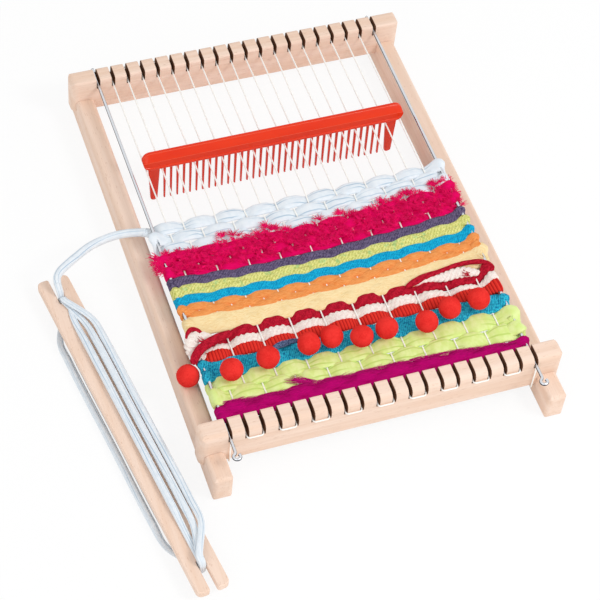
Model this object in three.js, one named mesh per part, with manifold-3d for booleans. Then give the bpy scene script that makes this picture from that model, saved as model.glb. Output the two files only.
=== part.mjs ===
// A child's table-top weaving loom with a piece of weaving on it, and its comb and shuttle.
//
// Millimetres, +Z up. The loom lies flat on a table: two side rails run along Y and carry
// two slotted bars along X. One cotton thread is strung to and fro between the bars as the
// warp. Bands of thick yarn are woven into its front half, a toothed comb stands in its
// back half, and a steel rod runs along each edge. The shuttle, wound with yarn, lies on
// the table at the left, and its yarn leads over the left rail into the newest row.
//
// While the pieces are made, x = 0 is the middle of the loom, y = 0 the front bar's front
// face and z = 0 the table. At the end the whole is shifted so that its box, without the
// free yarn, is centred on the origin.

import * as THREE from "three";
import { mergeVertices } from "three/addons/utils/BufferGeometryUtils.js";
import Module from "manifold-3d";

const wasm = await Module();
wasm.setup();

// Clearances between pieces
const GLUE_LINE = 0.15; // between a bar and the notch that it is glued in
const CLEAR = 0.3; // between yarn, thread, rods, comb and what they lie on
const TABLE_GAP = 0.2; // under what hangs just above the table
const ROW_GAP = 0.3; // between two bands of weaving
const CUT = 1; // how far a cut reaches past what it cuts
const WELD = 1e-4; // corners closer than this are one

// Side rails
const INNER_WIDTH = 196; // between the rails
const RAIL_WIDTH = 12;
const RAIL_HEIGHT = 20;
const RAIL_NOSE = 18.5; // how far the rails reach out in front of the front bar
const RAIL_TOP_ROUND = 3;
const RAIL_FOOT_ROUND = 1.5;
const RAIL_END_ROUND = 2.5;

// Slotted bars, let into the tops of the rails
const BAR_THICK = 12.5;
const BAR_HEIGHT = 25.8;
const BAR_SEAT = 10.3; // height of the bars' undersides above the table
const BAR_OVERHANG = 3; // past the rails' outer faces
const WARP_ROOM = 269.8; // between the two bars' inner faces
const BAR_OUTER_ROUND = 4;
const BAR_INNER_ROUND = 1.5;
const BAR_FOOT_ROUND = 1;
const BAR_CORNER_ROUND = 4.5; // upright edges at the bars' ends
const BAR_SHOULDER_ROUND = 4; // upper corners at the bars' ends
const SLOT_COUNT = 20;
const SLOT_PITCH = 10;
const SLOT_WIDTH = 2.4;
const SLOT_DEPTH = 7.6;

// Countersunk wood screws, up through the rails into the bars
const SCREW_LENGTH = 25;
const SCREW_SHANK = 3.4;
const SCREW_HEAD = 7;
const SCREW_HEAD_HEIGHT = 2.6;
const SCREW_HEAD_RIM = 0.4;
const SCREW_TIP = 4;
const SCREW_RECESS = 0.5; // head below the rail's underside
const CROSS_WIDTH = 0.8;
const CROSS_SPAN = 4;
const CROSS_DEPTH = 1.2;

// Warp thread
const THREAD = 1;
const THREAD_SIDES = 6;
const LOOP_STAND_OFF = 0.9; // from a bar's outer face to the middle of the thread
const LOOP_BEND = 1.7;
const LANE_START = 15; // before the newest row's edge, where a thread leaves its slot's line
const LANE_REACHED = 3; // past that edge, where it lies in its gap between two teeth
const LANE_LEAST = 0.01; // a thread that would move less runs straight
const THREAD_TAIL = 10; // how far the tied ends rise up the front bar's inner face

// Steel rods that keep the weaving's edges straight
const ROD = 2;
const ROD_SIDES = 8;
const ROD_TAIL = 2.5; // past the back bar's outer face
const EYE_REACH = 12; // from the front bar's face to the middle of the eye
const EYE_LOOP = 2; // radius of the eye, to the middle of the wire
const EYE_BEND = 2.5; // radius of the small bend before it
const EYE_END_ANGLE = THREE.MathUtils.degToRad(35);
const EYE_BEND_STEPS = 3;
const EYE_LOOP_STEPS = 11;

// Comb
const COMB_PLACE = 208; // along Y, middle of the spine's foot
const COMB_TILT = THREE.MathUtils.degToRad(-3); // its tips lean to the weaver
const SPINE_LENGTH = 174;
const SPINE_DEPTH = 6.5;
const SPINE_HEIGHT = 10.6;
const SPINE_EDGE = 0.65;
const SPINE_LIP = 1.7; // height of the lip along the front's foot
const SPINE_FACE_SET_BACK = 0.55; // of the face above the lip
const SPINE_RIDGE = 6; // height of the ridge along the front
const SPINE_CREST_WIDTH = 2.4;
const SPINE_END_SHARE = 0.98; // of half the spine's height
const TOOTH_COUNT = 35;
const TOOTH_PITCH = 4.27;
const TOOTH_WIDTH = 1.6;
const TOOTH_TIP_WIDTH = 1.1;
const TOOTH_DEPTH = 2;
const TOOTH_TIP_CHAMFER = 0.8;
const TOOTH_ROOT = 3.5; // how far a tooth reaches up into the spine
const POST_STEP = 7; // from the last tooth to the middle of the post
const POST_WIDTH = 7.5;
const POST_TIP_WIDTH = 4.6;
const POST_DEPTH = 3;
const POST_TIP_CHAMFER = 1.5;
const TIP_GAP = 0.4; // from the tips to the table

// Weaving: bands of yarn over and under the warp, from the front bar to the newest row
const FIRST_ROW_GAP = 1; // from the front bar's inner face
const WEFT_OVERLAP = 2.6; // how far a band reaches past the middle of the edge rods
const EDGE_YARN = 0.8; // yarn over an edge rod
const EDGE_SLOPE = 2; // from the yarn over a rod down to the band's own top
const EDGE_ROUND_SHARE = 0.95; // of half the band's thickness
const MAGENTA_WIDTH = 10.3;
const GREEN_WIDTH = 19.4;
const TEAL_WIDTH = 11.2;
const BRAID_WIDTH = 7.7;
const CRIMSON_WIDTH = 13.5;
const YELLOW_WIDTH = 10.2;
const ORANGE_WIDTH = 10.3;
const BLUE_WIDTH = 6.3;
const OLIVE_WIDTH = 7.3;
const PURPLE_WIDTH = 6.1;
const FRINGE_WIDTH = 26.9;
const LIGHT_BLUE_WIDTH = 17;
const ROVING_THICK = 8;
const CORD_THICK = 7;
const TAPE_THICK = 6.4;
const YARN_THICK = 5.6;
const YARN_ROWS = [
  { name: "weft_magenta_roving", width: MAGENTA_WIDTH, thick: ROVING_THICK, colour: 0xaa006e },
  { name: "weft_green_roving", width: GREEN_WIDTH, thick: ROVING_THICK, colour: 0xbedc64 },
  { name: "weft_teal", width: TEAL_WIDTH, thick: YARN_THICK, colour: 0x0a8cb4 },
  { name: "weft_red_braid", width: BRAID_WIDTH, thick: YARN_THICK, colour: 0xeb372d },
  { name: "weft_crimson_twist", width: CRIMSON_WIDTH, thick: CORD_THICK, colour: 0xa50f28 },
  { name: "weft_yellow", width: YELLOW_WIDTH, thick: YARN_THICK, colour: 0xfadc82 },
  { name: "weft_orange", width: ORANGE_WIDTH, thick: YARN_THICK, colour: 0xf0913c },
  { name: "weft_blue", width: BLUE_WIDTH, thick: YARN_THICK, colour: 0x009bc8 },
  { name: "weft_olive", width: OLIVE_WIDTH, thick: YARN_THICK, colour: 0xb4be46 },
  { name: "weft_purple_grey", width: PURPLE_WIDTH, thick: YARN_THICK, colour: 0x554b69 },
  { name: "weft_pink_fringe", width: FRINGE_WIDTH, thick: CORD_THICK, colour: 0xe1005f },
  { name: "weft_light_blue", width: LIGHT_BLUE_WIDTH, thick: TAPE_THICK, colour: 0xcddeec },
];

// Pom-poms sewn to the braid, left to right: their middles over the weaving
const POM_POM = 13.7;
const POM_POM_PLACES = [
  [-104.8, 51.3],
  [-82.2, 40.2],
  [-59.2, 42.6],
  [-32.9, 45.6],
  [-18, 47.5],
  [-1.1, 42],
  [15.3, 43.8],
  [40, 41.9],
  [57.4, 48.6],
  [76.8, 50.2],
];

// Shuttle: a flat stick with a notch in each end
const SHUTTLE_FOOT = [-128.1, -78.5]; // middle of its near end
const SHUTTLE_TURN = THREE.MathUtils.degToRad(7.8);
const SHUTTLE_LENGTH = 235;
const SHUTTLE_WIDTH = 20;
const SHUTTLE_THICK = 5;
const SHUTTLE_EDGE = 0.7;
const NOTCH_WIDTH = 4.6;
const NOTCH_DEPTH = 20;
const PRONG_OUTER_ROUND = 4;
const PRONG_INNER_ROUND = 1.8;

// Yarn wound lengthwise on the shuttle through both notches
const WIND_LOOPS = 3;
const WIND_SIDES = 6;
const TIGHT_WIDTH = 4; // the yarn is squeezed flat in the notches
const TIGHT_THICK = 1.3;
const SLACK_WIDTH = 4.6; // and is fuller along the stick
const SLACK_THICK = 3.4;
const PILE_GAP = 0.55; // between turns that lie on each other in a notch
const TOP_LANES = [0, 6, 11.2]; // across the stick, where each turn lies on top
const UNDER_LANES = [-1, -6.6, -12.2]; // and underneath
const FAN_RUN = 20; // along the stick, where turns spread
const FAN_SHARE = 0.9; // of the way to their lanes
const DROP_RUN = 17; // and then come down beside each other
const EXIT_RISE = 2.5; // the end where the free yarn goes on: up
const EXIT_LEAN = 1; // and outward with it
const EXIT_REACH = 3.5; // and then slanting, as far outward as up
const TURN_APART = 10; // along the yarn, beyond which its gap to itself is measured

// Free yarn from the shuttle, over the left rail, to the newest row
const YARN = 5.2;
const YARN_SIDES = 8;
const YARN_STEPS = 14;
const FREE_YARN_ROUTE = [
  [-158.6, 144.2, 16.9],
  [-158.2, 146.9, 19.5],
  [-156, 149, 21.9],
  [-151.4, 151.4, 23.8],
  [-144, 155.5, 24.8],
  [-133.6, 161.3, 24.6],
  [-121.9, 164.9, 24.2],
  [-112.2, 165.4, 24.5],
  [-104.4, 163.4, 25.7],
  [-98.3, 160.3, 27.6],
];

// Worked out from the above
const RAIL_LENGTH = RAIL_NOSE + 2 * BAR_THICK + WARP_ROOM;
const RAIL_MIDDLE = (INNER_WIDTH + RAIL_WIDTH) / 2;
const BAR_TOP = BAR_SEAT + BAR_HEIGHT;
const BAR_HALF = INNER_WIDTH / 2 + RAIL_WIDTH + BAR_OVERHANG;
const BACK_BAR = BAR_THICK + WARP_ROOM; // the back bar's inner face
const BACK_FACE = BACK_BAR + BAR_THICK;
const SLOT_FLOOR = BAR_TOP - SLOT_DEPTH;
const OUTER_SLOT = ((SLOT_COUNT - 1) / 2) * SLOT_PITCH;
const WARP_HEIGHT = SLOT_FLOOR + CLEAR + THREAD / 2;
const ROD_HEIGHT = WARP_HEIGHT + THREAD / 2 + CLEAR + ROD / 2;
const WEFT_HALF = OUTER_SLOT + WEFT_OVERLAP;
const FIRST_ROW = BAR_THICK + FIRST_ROW_GAP;
const FELL = YARN_ROWS.reduce((y, row) => y + row.width, FIRST_ROW) + ROW_GAP * (YARN_ROWS.length - 1);
const COMB_HEIGHT = WARP_HEIGHT + THREAD / 2 + CLEAR + (SPINE_DEPTH / 2) * Math.sin(-COMB_TILT);
const COMB_REACH = TOOTH_PITCH * ((TOOTH_COUNT - 1) / 2) + POST_STEP; // to the posts' middles
const PILE_STEP = TIGHT_THICK + PILE_GAP;
const PILE_START = CLEAR + TIGHT_THICK / 2; // from the wood to the first turn's middle
const SHUTTLE_HEIGHT = TABLE_GAP + CLEAR + WIND_LOOPS * TIGHT_THICK + (WIND_LOOPS - 1) * PILE_GAP;

// Finishes
const WOOD = { color: 0xebcdb4, roughness: 0.6, metalness: 0 };
const STEEL = { color: 0xb4b8bc, roughness: 0.3, metalness: 1 };
const PLASTIC = { color: 0xe43c19, roughness: 0.35, metalness: 0 };
const COTTON = { color: 0xf4efe6, roughness: 0.9, metalness: 0 };
const LIGHT_YARN = { color: 0xcddeec, roughness: 0.9, metalness: 0 };
const POM_POM_RED = { color: 0xe6281e, roughness: 1, metalness: 0 };

// Solids and meshes

function solid(geometry) {
  const bare = geometry.clone();
  bare.deleteAttribute("normal");
  bare.deleteAttribute("uv");
  const merged = mergeVertices(bare, WELD);
  const vertProperties = merged.attributes.position.array;
  const triVerts = new Uint32Array(merged.index.array);
  const mesh = new wasm.Mesh({ numProp: 3, vertProperties, triVerts });
  mesh.merge();
  return new wasm.Manifold(mesh);
}

function geometryOf(body) {
  const mesh = body.getMesh();
  const geometry = new THREE.BufferGeometry();
  geometry.setAttribute("position", new THREE.BufferAttribute(mesh.vertProperties, 3));
  geometry.setIndex(new THREE.BufferAttribute(mesh.triVerts, 1));
  const flat = geometry.toNonIndexed();
  flat.computeVertexNormals();
  return flat;
}

const X = new THREE.Vector3(1, 0, 0);
const Y = new THREE.Vector3(0, 1, 0);
const Z = new THREE.Vector3(0, 0, 1);

function extruded(shape, length, segments) {
  return new THREE.ExtrudeGeometry(shape, { depth: length, bevelEnabled: false, curveSegments: segments });
}

// A section drawn in Y and Z, swept along X
function alongX(shape, from, to, segments = 3) {
  const place = new THREE.Matrix4().makeBasis(Y, Z, X).setPosition(from, 0, 0);
  return solid(extruded(shape, to - from, segments).applyMatrix4(place));
}

// A section drawn in X and Z, swept along Y
function alongY(shape, from, to, segments = 3) {
  const place = new THREE.Matrix4().makeBasis(X, Z, Y.clone().negate()).setPosition(0, to, 0);
  return solid(extruded(shape, to - from, segments).applyMatrix4(place));
}

// A section drawn in X and Y, swept along Z
function alongZ(shape, from, to, segments = 3) {
  return solid(extruded(shape, to - from, segments).translate(0, 0, from));
}

function block(x0, x1, y0, y1, z0, z1) {
  const box = new THREE.BoxGeometry(x1 - x0, y1 - y0, z1 - z0);
  return solid(box.translate((x0 + x1) / 2, (y0 + y1) / 2, (z0 + z1) / 2));
}

// A rectangle whose corners are rounded by the four radii, from its lower left corner round
function roundedRectangle(x0, y0, x1, y1, [a, b, c, d]) {
  const shape = new THREE.Shape();
  shape.moveTo(x0 + a, y0);
  shape.lineTo(x1 - b, y0);
  shape.absarc(x1 - b, y0 + b, b, -Math.PI / 2, 0);
  shape.lineTo(x1, y1 - c);
  shape.absarc(x1 - c, y1 - c, c, 0, Math.PI / 2);
  shape.lineTo(x0 + d, y1);
  shape.absarc(x0 + d, y1 - d, d, Math.PI / 2, Math.PI);
  shape.lineTo(x0, y0 + a);
  shape.absarc(x0 + a, y0 + a, a, Math.PI, 1.5 * Math.PI);
  return shape;
}

// The corners of a section, which has its middle and its two half axes
function sectionCorners({ at, across, rise }, sides) {
  const corners = [];
  for (let j = 0; j < sides; j += 1) {
    const turn = (2 * Math.PI * j) / sides;
    const corner = at.clone().addScaledVector(across, Math.cos(turn));
    corners.push(corner.addScaledVector(rise, Math.sin(turn)));
  }
  return corners;
}

// A closed tube through sections
function tube(stations, sides) {
  const points = stations.flatMap((station) => sectionCorners(station, sides));
  const faces = [];
  const last = (stations.length - 1) * sides;
  for (let ring = 0; ring < last; ring += sides) {
    for (let j = 0; j < sides; j += 1) {
      const next = (j + 1) % sides;
      faces.push(ring + j, ring + next, ring + sides + next);
      faces.push(ring + j, ring + sides + next, ring + sides + j);
    }
  }
  for (let j = 1; j < sides - 1; j += 1) {
    faces.push(0, j + 1, j);
    faces.push(last, last + j, last + j + 1);
  }
  const geometry = new THREE.BufferGeometry().setFromPoints(points);
  geometry.setIndex(faces);
  geometry.computeVertexNormals();
  return geometry;
}

// Directions of travel at each point of a route, halfway between its two neighbours
function headings(route) {
  return route.map((point, i) => {
    const before = route[Math.max(i - 1, 0)];
    const after = route[Math.min(i + 1, route.length - 1)];
    const arriving = point.clone().sub(before).normalize();
    const leaving = after.clone().sub(point).normalize();
    return arriving.add(leaving).normalize();
  });
}

const STEEP = 0.9; // a route that rises more starts its sections from X instead of Z

// A round tube along a route, its sections turned as little as the route allows
function roundTube(route, diameter, sides) {
  const ahead = headings(route);
  const across = Math.abs(ahead[0].z) < STEEP ? Z.clone() : X.clone();
  const stations = route.map((at, i) => {
    across.addScaledVector(ahead[i], -across.dot(ahead[i])).normalize();
    const side = across.clone();
    const rise = ahead[i].clone().cross(side);
    return {
      at,
      across: side.multiplyScalar(diameter / 2),
      rise: rise.multiplyScalar(diameter / 2),
    };
  });
  return tube(stations, sides);
}

// Points on a quarter turn in the plane of two directions, from one to the other
function arcPoints(centre, from, to, radius, steps) {
  const points = [];
  for (let i = 0; i <= steps; i += 1) {
    const turn = (i / steps) * (Math.PI / 2);
    points.push(
      centre
        .clone()
        .addScaledVector(from, radius * Math.cos(turn))
        .addScaledVector(to, radius * Math.sin(turn)),
    );
  }
  return points;
}

// Assembly

const loom = new THREE.Group();
const pieces = [];

function add(name, geometry, finish, parent = loom) {
  const mesh = new THREE.Mesh(geometry, new THREE.MeshStandardMaterial(finish));
  mesh.name = name;
  parent.add(mesh);
  pieces.push(mesh);
}

// Screws and the pockets that they sit in

function screwProfile(room, below) {
  const shank = SCREW_SHANK / 2 + room;
  const head = SCREW_HEAD / 2 + room;
  return [
    new THREE.Vector2(0, SCREW_RECESS - below),
    new THREE.Vector2(head, SCREW_RECESS - below),
    new THREE.Vector2(head, SCREW_RECESS + SCREW_HEAD_RIM + room),
    new THREE.Vector2(shank, SCREW_RECESS + SCREW_HEAD_HEIGHT + room),
    new THREE.Vector2(shank, SCREW_RECESS + SCREW_LENGTH - SCREW_TIP),
    new THREE.Vector2(0, SCREW_RECESS + SCREW_LENGTH + room),
  ];
}

function turned(profile, x, y, segments = 12) {
  return solid(new THREE.LatheGeometry(profile, segments).rotateX(Math.PI / 2).translate(x, y, 0));
}

const SCREW_PLACES = [
  ["screw_front_left", -RAIL_MIDDLE, BAR_THICK / 2],
  ["screw_front_right", RAIL_MIDDLE, BAR_THICK / 2],
  ["screw_back_left", -RAIL_MIDDLE, BACK_BAR + BAR_THICK / 2],
  ["screw_back_right", RAIL_MIDDLE, BACK_BAR + BAR_THICK / 2],
];

function screw(x, y) {
  const depth = SCREW_RECESS + CROSS_DEPTH;
  const long = CROSS_SPAN / 2;
  const wide = CROSS_WIDTH / 2;
  const crossways = block(x - long, x + long, y - wide, y + wide, 0, depth);
  const lengthways = block(x - wide, x + wide, y - long, y + long, 0, depth);
  return turned(screwProfile(0, 0), x, y).subtract(crossways).subtract(lengthways);
}

function withScrewPockets(body) {
  return SCREW_PLACES.reduce(
    (rest, [, x, y]) => rest.subtract(turned(screwProfile(CLEAR, 2 * SCREW_RECESS), x, y)),
    body,
  );
}

// Frame

function sideRail(side) {
  const middle = side * RAIL_MIDDLE;
  const x0 = middle - RAIL_WIDTH / 2;
  const x1 = middle + RAIL_WIDTH / 2;
  const y0 = -RAIL_NOSE;
  const y1 = y0 + RAIL_LENGTH;
  const foot = RAIL_FOOT_ROUND;
  const top = RAIL_TOP_ROUND;
  const end = RAIL_END_ROUND;
  const section = alongY(roundedRectangle(x0, 0, x1, RAIL_HEIGHT, [foot, foot, top, top]), y0, y1, 2);
  const outline = alongX(roundedRectangle(y0, 0, y1, RAIL_HEIGHT, [foot, foot, end, end]), x0, x1, 2);
  const plan = alongZ(roundedRectangle(x0, y0, x1, y1, [end, end, end, end]), 0, RAIL_HEIGHT, 2);
  const rail = [0, BACK_BAR].reduce(
    (rest, y) => rest.subtract(notchFor(x0 - CUT, x1 + CUT, y)),
    section.intersect(outline).intersect(plan),
  );
  return withScrewPockets(rail);
}

function notchFor(x0, x1, y) {
  const floor = BAR_SEAT - GLUE_LINE;
  return block(x0, x1, y - GLUE_LINE, y + BAR_THICK + GLUE_LINE, floor, RAIL_HEIGHT + CUT);
}

function slottedBar(y0, frontRound, backRound) {
  const y1 = y0 + BAR_THICK;
  const foot = BAR_FOOT_ROUND;
  const corner = BAR_CORNER_ROUND;
  const shoulder = BAR_SHOULDER_ROUND;
  const section = roundedRectangle(y0, BAR_SEAT, y1, BAR_TOP, [foot, foot, backRound, frontRound]);
  const front = roundedRectangle(-BAR_HALF, BAR_SEAT, BAR_HALF, BAR_TOP, [foot, foot, shoulder, shoulder]);
  const plan = roundedRectangle(-BAR_HALF, y0, BAR_HALF, y1, [corner, corner, corner, corner]);
  let bar = alongX(section, -BAR_HALF, BAR_HALF, 2)
    .intersect(alongY(front, y0, y1, 2))
    .intersect(alongZ(plan, BAR_SEAT, BAR_TOP, 2));
  for (let k = 0; k < SLOT_COUNT; k += 1) {
    const x = slotX(k);
    const half = SLOT_WIDTH / 2;
    bar = bar.subtract(block(x - half, x + half, y0 - CUT, y1 + CUT, SLOT_FLOOR, BAR_TOP + CUT));
  }
  return withScrewPockets(bar);
}

function slotX(k) {
  return k * SLOT_PITCH - OUTER_SLOT;
}

// Warp: where the comb stands, each thread keeps to the gap between two teeth

function combTeeth() {
  const teeth = [];
  for (let i = 0; i < TOOTH_COUNT; i += 1) {
    const x = (i - (TOOTH_COUNT - 1) / 2) * TOOTH_PITCH;
    teeth.push({ x, width: TOOTH_WIDTH });
  }
  teeth.unshift({ x: -COMB_REACH, width: POST_WIDTH });
  teeth.push({ x: COMB_REACH, width: POST_WIDTH });
  return teeth;
}

function combLane(x) {
  const teeth = combTeeth();
  const room = THREAD / 2 + CLEAR;
  let lane = Infinity;
  for (let i = 0; i <= teeth.length; i += 1) {
    const from = i === 0 ? -Infinity : teeth[i - 1].x + teeth[i - 1].width / 2 + room;
    const to = i === teeth.length ? Infinity : teeth[i].x - teeth[i].width / 2 - room;
    const candidate = from > to ? (from + to) / 2 : Math.min(Math.max(x, from), to);
    if (Math.abs(candidate - x) < Math.abs(lane - x)) {
      lane = candidate;
    }
  }
  return lane;
}

// One run of the warp between the bars, from front to back
function warpRun(k) {
  const x = slotX(k);
  const lane = combLane(x);
  if (Math.abs(lane - x) < LANE_LEAST) {
    return [];
  }
  return [
    new THREE.Vector3(x, FELL - LANE_START, WARP_HEIGHT),
    new THREE.Vector3(lane, FELL + LANE_REACHED, WARP_HEIGHT),
    new THREE.Vector3(lane, COMB_PLACE + SPINE_DEPTH, WARP_HEIGHT),
    new THREE.Vector3(x, BACK_BAR, WARP_HEIGHT),
  ];
}

// The thread's turn round the tooth after slot k, on the outside of a bar
function warpLoop(k, face, outward) {
  const out = new THREE.Vector3(0, outward, 0);
  const right = X;
  const left = X.clone().negate();
  const y = face + outward * (LOOP_STAND_OFF - LOOP_BEND);
  const near = new THREE.Vector3(slotX(k) + LOOP_BEND, y, WARP_HEIGHT);
  const far = new THREE.Vector3(slotX(k + 1) - LOOP_BEND, y, WARP_HEIGHT);
  return [...arcPoints(near, left, out, LOOP_BEND, 2), ...arcPoints(far, out, right, LOOP_BEND, 2)];
}

// A thread end: up the front bar's inner face, under the bar and up its front face
function warpEnd(k) {
  const x = slotX(k);
  const bend = LOOP_STAND_OFF;
  const inner = BAR_THICK + LOOP_STAND_OFF;
  const under = BAR_SEAT - LOOP_STAND_OFF;
  const front = -LOOP_STAND_OFF;
  const down = Z.clone().negate();
  const toward = Y.clone().negate();
  return [
    new THREE.Vector3(x, inner, under + THREAD_TAIL),
    ...arcPoints(new THREE.Vector3(x, inner - bend, under + bend), Y, down, bend, 2),
    ...arcPoints(new THREE.Vector3(x, front + bend, under + bend), down, toward, bend, 2),
    ...arcPoints(new THREE.Vector3(x, front + bend, WARP_HEIGHT - bend), toward, Z, bend, 2),
  ];
}

function warp() {
  const route = warpEnd(0);
  for (let k = 0; k < SLOT_COUNT; k += 1) {
    const forward = k % 2 === 0;
    const run = warpRun(k);
    route.push(...(forward ? run : run.reverse()));
    if (k < SLOT_COUNT - 1) {
      route.push(...(forward ? warpLoop(k, BACK_FACE, 1) : warpLoop(k, 0, -1)));
    }
  }
  route.push(...warpEnd(SLOT_COUNT - 1).reverse());
  return roundTube(route, THREAD, THREAD_SIDES);
}

// Edge rods: straight wire with a small eye bent at the near end to pull it out by

function edgeRod(x) {
  const eye = new THREE.Vector3(x, -EYE_REACH, ROD_HEIGHT);
  const reach = EYE_LOOP + EYE_BEND;
  const bendY = Math.sqrt(reach * reach - EYE_BEND * EYE_BEND);
  const bend = Math.asin(bendY / reach);
  const route = [new THREE.Vector3(x, BACK_FACE + ROD_TAIL, ROD_HEIGHT)];
  for (let i = 0; i < EYE_BEND_STEPS; i += 1) {
    const turn = (i / EYE_BEND_STEPS) * bend;
    const dx = EYE_BEND * (Math.cos(turn) - 1);
    route.push(eye.clone().add(new THREE.Vector3(dx, bendY - EYE_BEND * Math.sin(turn), 0)));
  }
  const start = Math.PI - bend;
  const end = 2 * Math.PI + EYE_END_ANGLE;
  for (let i = 0; i <= EYE_LOOP_STEPS; i += 1) {
    const turn = THREE.MathUtils.lerp(start, end, i / EYE_LOOP_STEPS);
    const dx = EYE_LOOP * Math.cos(turn);
    route.push(eye.clone().add(new THREE.Vector3(dx, EYE_LOOP * Math.sin(turn), 0)));
  }
  return roundTube(route, ROD, ROD_SIDES);
}

// Comb

function spine() {
  const front = -SPINE_DEPTH / 2;
  const back = SPINE_DEPTH / 2;
  const face = front + SPINE_FACE_SET_BACK;
  const edge = SPINE_EDGE;
  const section = new THREE.Shape();
  section.moveTo(front + edge, 0);
  section.lineTo(back - edge, 0);
  section.lineTo(back, edge);
  section.lineTo(back, SPINE_HEIGHT - edge);
  section.lineTo(back - edge, SPINE_HEIGHT);
  section.lineTo(back - SPINE_CREST_WIDTH, SPINE_HEIGHT);
  section.lineTo(back - SPINE_CREST_WIDTH - edge, SPINE_HEIGHT - edge / 2);
  section.lineTo(face + edge, SPINE_RIDGE + edge);
  section.lineTo(face, SPINE_RIDGE);
  section.lineTo(face, SPINE_LIP + edge);
  section.lineTo(front, SPINE_LIP);
  section.lineTo(front, edge);
  const half = SPINE_LENGTH / 2;
  const r = (SPINE_HEIGHT / 2) * SPINE_END_SHARE;
  const outline = roundedRectangle(-half, 0, half, SPINE_HEIGHT, [r, r, r, r]);
  return alongX(section, -half, half).intersect(alongY(outline, front, back, 3));
}

// A tapering tooth with its corners cut, hanging down from inside the spine
function tooth(x, width, tipWidth, depth, length, chamfer) {
  const shape = new THREE.Shape();
  shape.moveTo(x - width / 2, TOOTH_ROOT);
  shape.lineTo(x - width / 2, -SPINE_LIP);
  shape.lineTo(x - tipWidth / 2, -length + chamfer);
  shape.lineTo(x - tipWidth / 4, -length);
  shape.lineTo(x + tipWidth / 4, -length);
  shape.lineTo(x + tipWidth / 2, -length + chamfer);
  shape.lineTo(x + width / 2, -SPINE_LIP);
  shape.lineTo(x + width / 2, TOOTH_ROOT);
  return alongY(shape, -depth / 2, depth / 2);
}

function comb() {
  const length = (COMB_HEIGHT - TIP_GAP - (TOOTH_DEPTH / 2) * Math.sin(-COMB_TILT)) / Math.cos(COMB_TILT);
  const bodies = combTeeth().map(({ x, width }) =>
    width === POST_WIDTH
      ? tooth(x, width, POST_TIP_WIDTH, POST_DEPTH, length, POST_TIP_CHAMFER)
      : tooth(x, width, TOOTH_TIP_WIDTH, TOOTH_DEPTH, length, TOOTH_TIP_CHAMFER),
  );
  return bodies.reduce((whole, one) => whole.add(one), spine());
}

// Weaving: each band is one flat sleeve of yarn round the warp, thicker where it turns round a rod

function weft(y0, y1, thick) {
  const z0 = WARP_HEIGHT - thick / 2;
  const z1 = WARP_HEIGHT + thick / 2;
  const rodRoom = ROD / 2 + CLEAR;
  const edgeTop = Math.max(z1, ROD_HEIGHT + rodRoom + EDGE_YARN);
  const edgeInner = OUTER_SLOT - rodRoom - EDGE_YARN;
  const round = (thick / 2) * EDGE_ROUND_SHARE;
  const band = roundedRectangle(-WEFT_HALF, z0, WEFT_HALF, edgeTop, [round, round, round, round]);
  if (edgeTop > z1) {
    const dip = new THREE.Shape();
    dip.moveTo(-edgeInner, edgeTop + CUT);
    dip.lineTo(-edgeInner, edgeTop);
    dip.lineTo(EDGE_SLOPE - edgeInner, z1);
    dip.lineTo(edgeInner - EDGE_SLOPE, z1);
    dip.lineTo(edgeInner, edgeTop);
    dip.lineTo(edgeInner, edgeTop + CUT);
    return alongY(band, y0, y1, 2).subtract(alongY(dip, y0 - CUT, y1 + CUT)).subtract(warpChannel(y0, y1));
  }
  return alongY(band, y0, y1, 2).subtract(warpChannel(y0, y1));
}

// The room for the warp through a band, with the two rods above its outer threads
function warpChannel(y0, y1) {
  const half = THREAD / 2 + CLEAR;
  const rodRoom = ROD / 2 + CLEAR;
  const floor = WARP_HEIGHT - half;
  const ceiling = WARP_HEIGHT + half;
  const from = Math.asin((ceiling - ROD_HEIGHT) / rodRoom);
  const reach = OUTER_SLOT + rodRoom * Math.cos(from);
  const channel = new THREE.Shape();
  channel.moveTo(-reach, floor);
  channel.lineTo(reach, floor);
  channel.absarc(OUTER_SLOT, ROD_HEIGHT, rodRoom, from, Math.PI - from);
  channel.absarc(-OUTER_SLOT, ROD_HEIGHT, rodRoom, from, Math.PI - from);
  return alongY(channel, y0 - CUT, y1 + CUT, 4);
}

// Pom-poms rest on the weaving or the rail, whichever carries them highest

const supports = [];

function restingHeight(x, y, radius) {
  const reach = radius + CLEAR;
  return supports.reduce((height, { x0, x1, y0, y1, top }) => {
    const dx = Math.max(x0 - x, 0, x - x1);
    const dy = Math.max(y0 - y, 0, y - y1);
    const away = Math.hypot(dx, dy);
    return away < reach ? Math.max(height, top + Math.sqrt(reach * reach - away * away)) : height;
  }, 0);
}

function pomPom(x, y) {
  const radius = POM_POM / 2;
  return new THREE.SphereGeometry(radius, 12, 8).translate(x, y, restingHeight(x, y, radius));
}

// Shuttle, drawn with its near end at the origin and its length along Y

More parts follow.
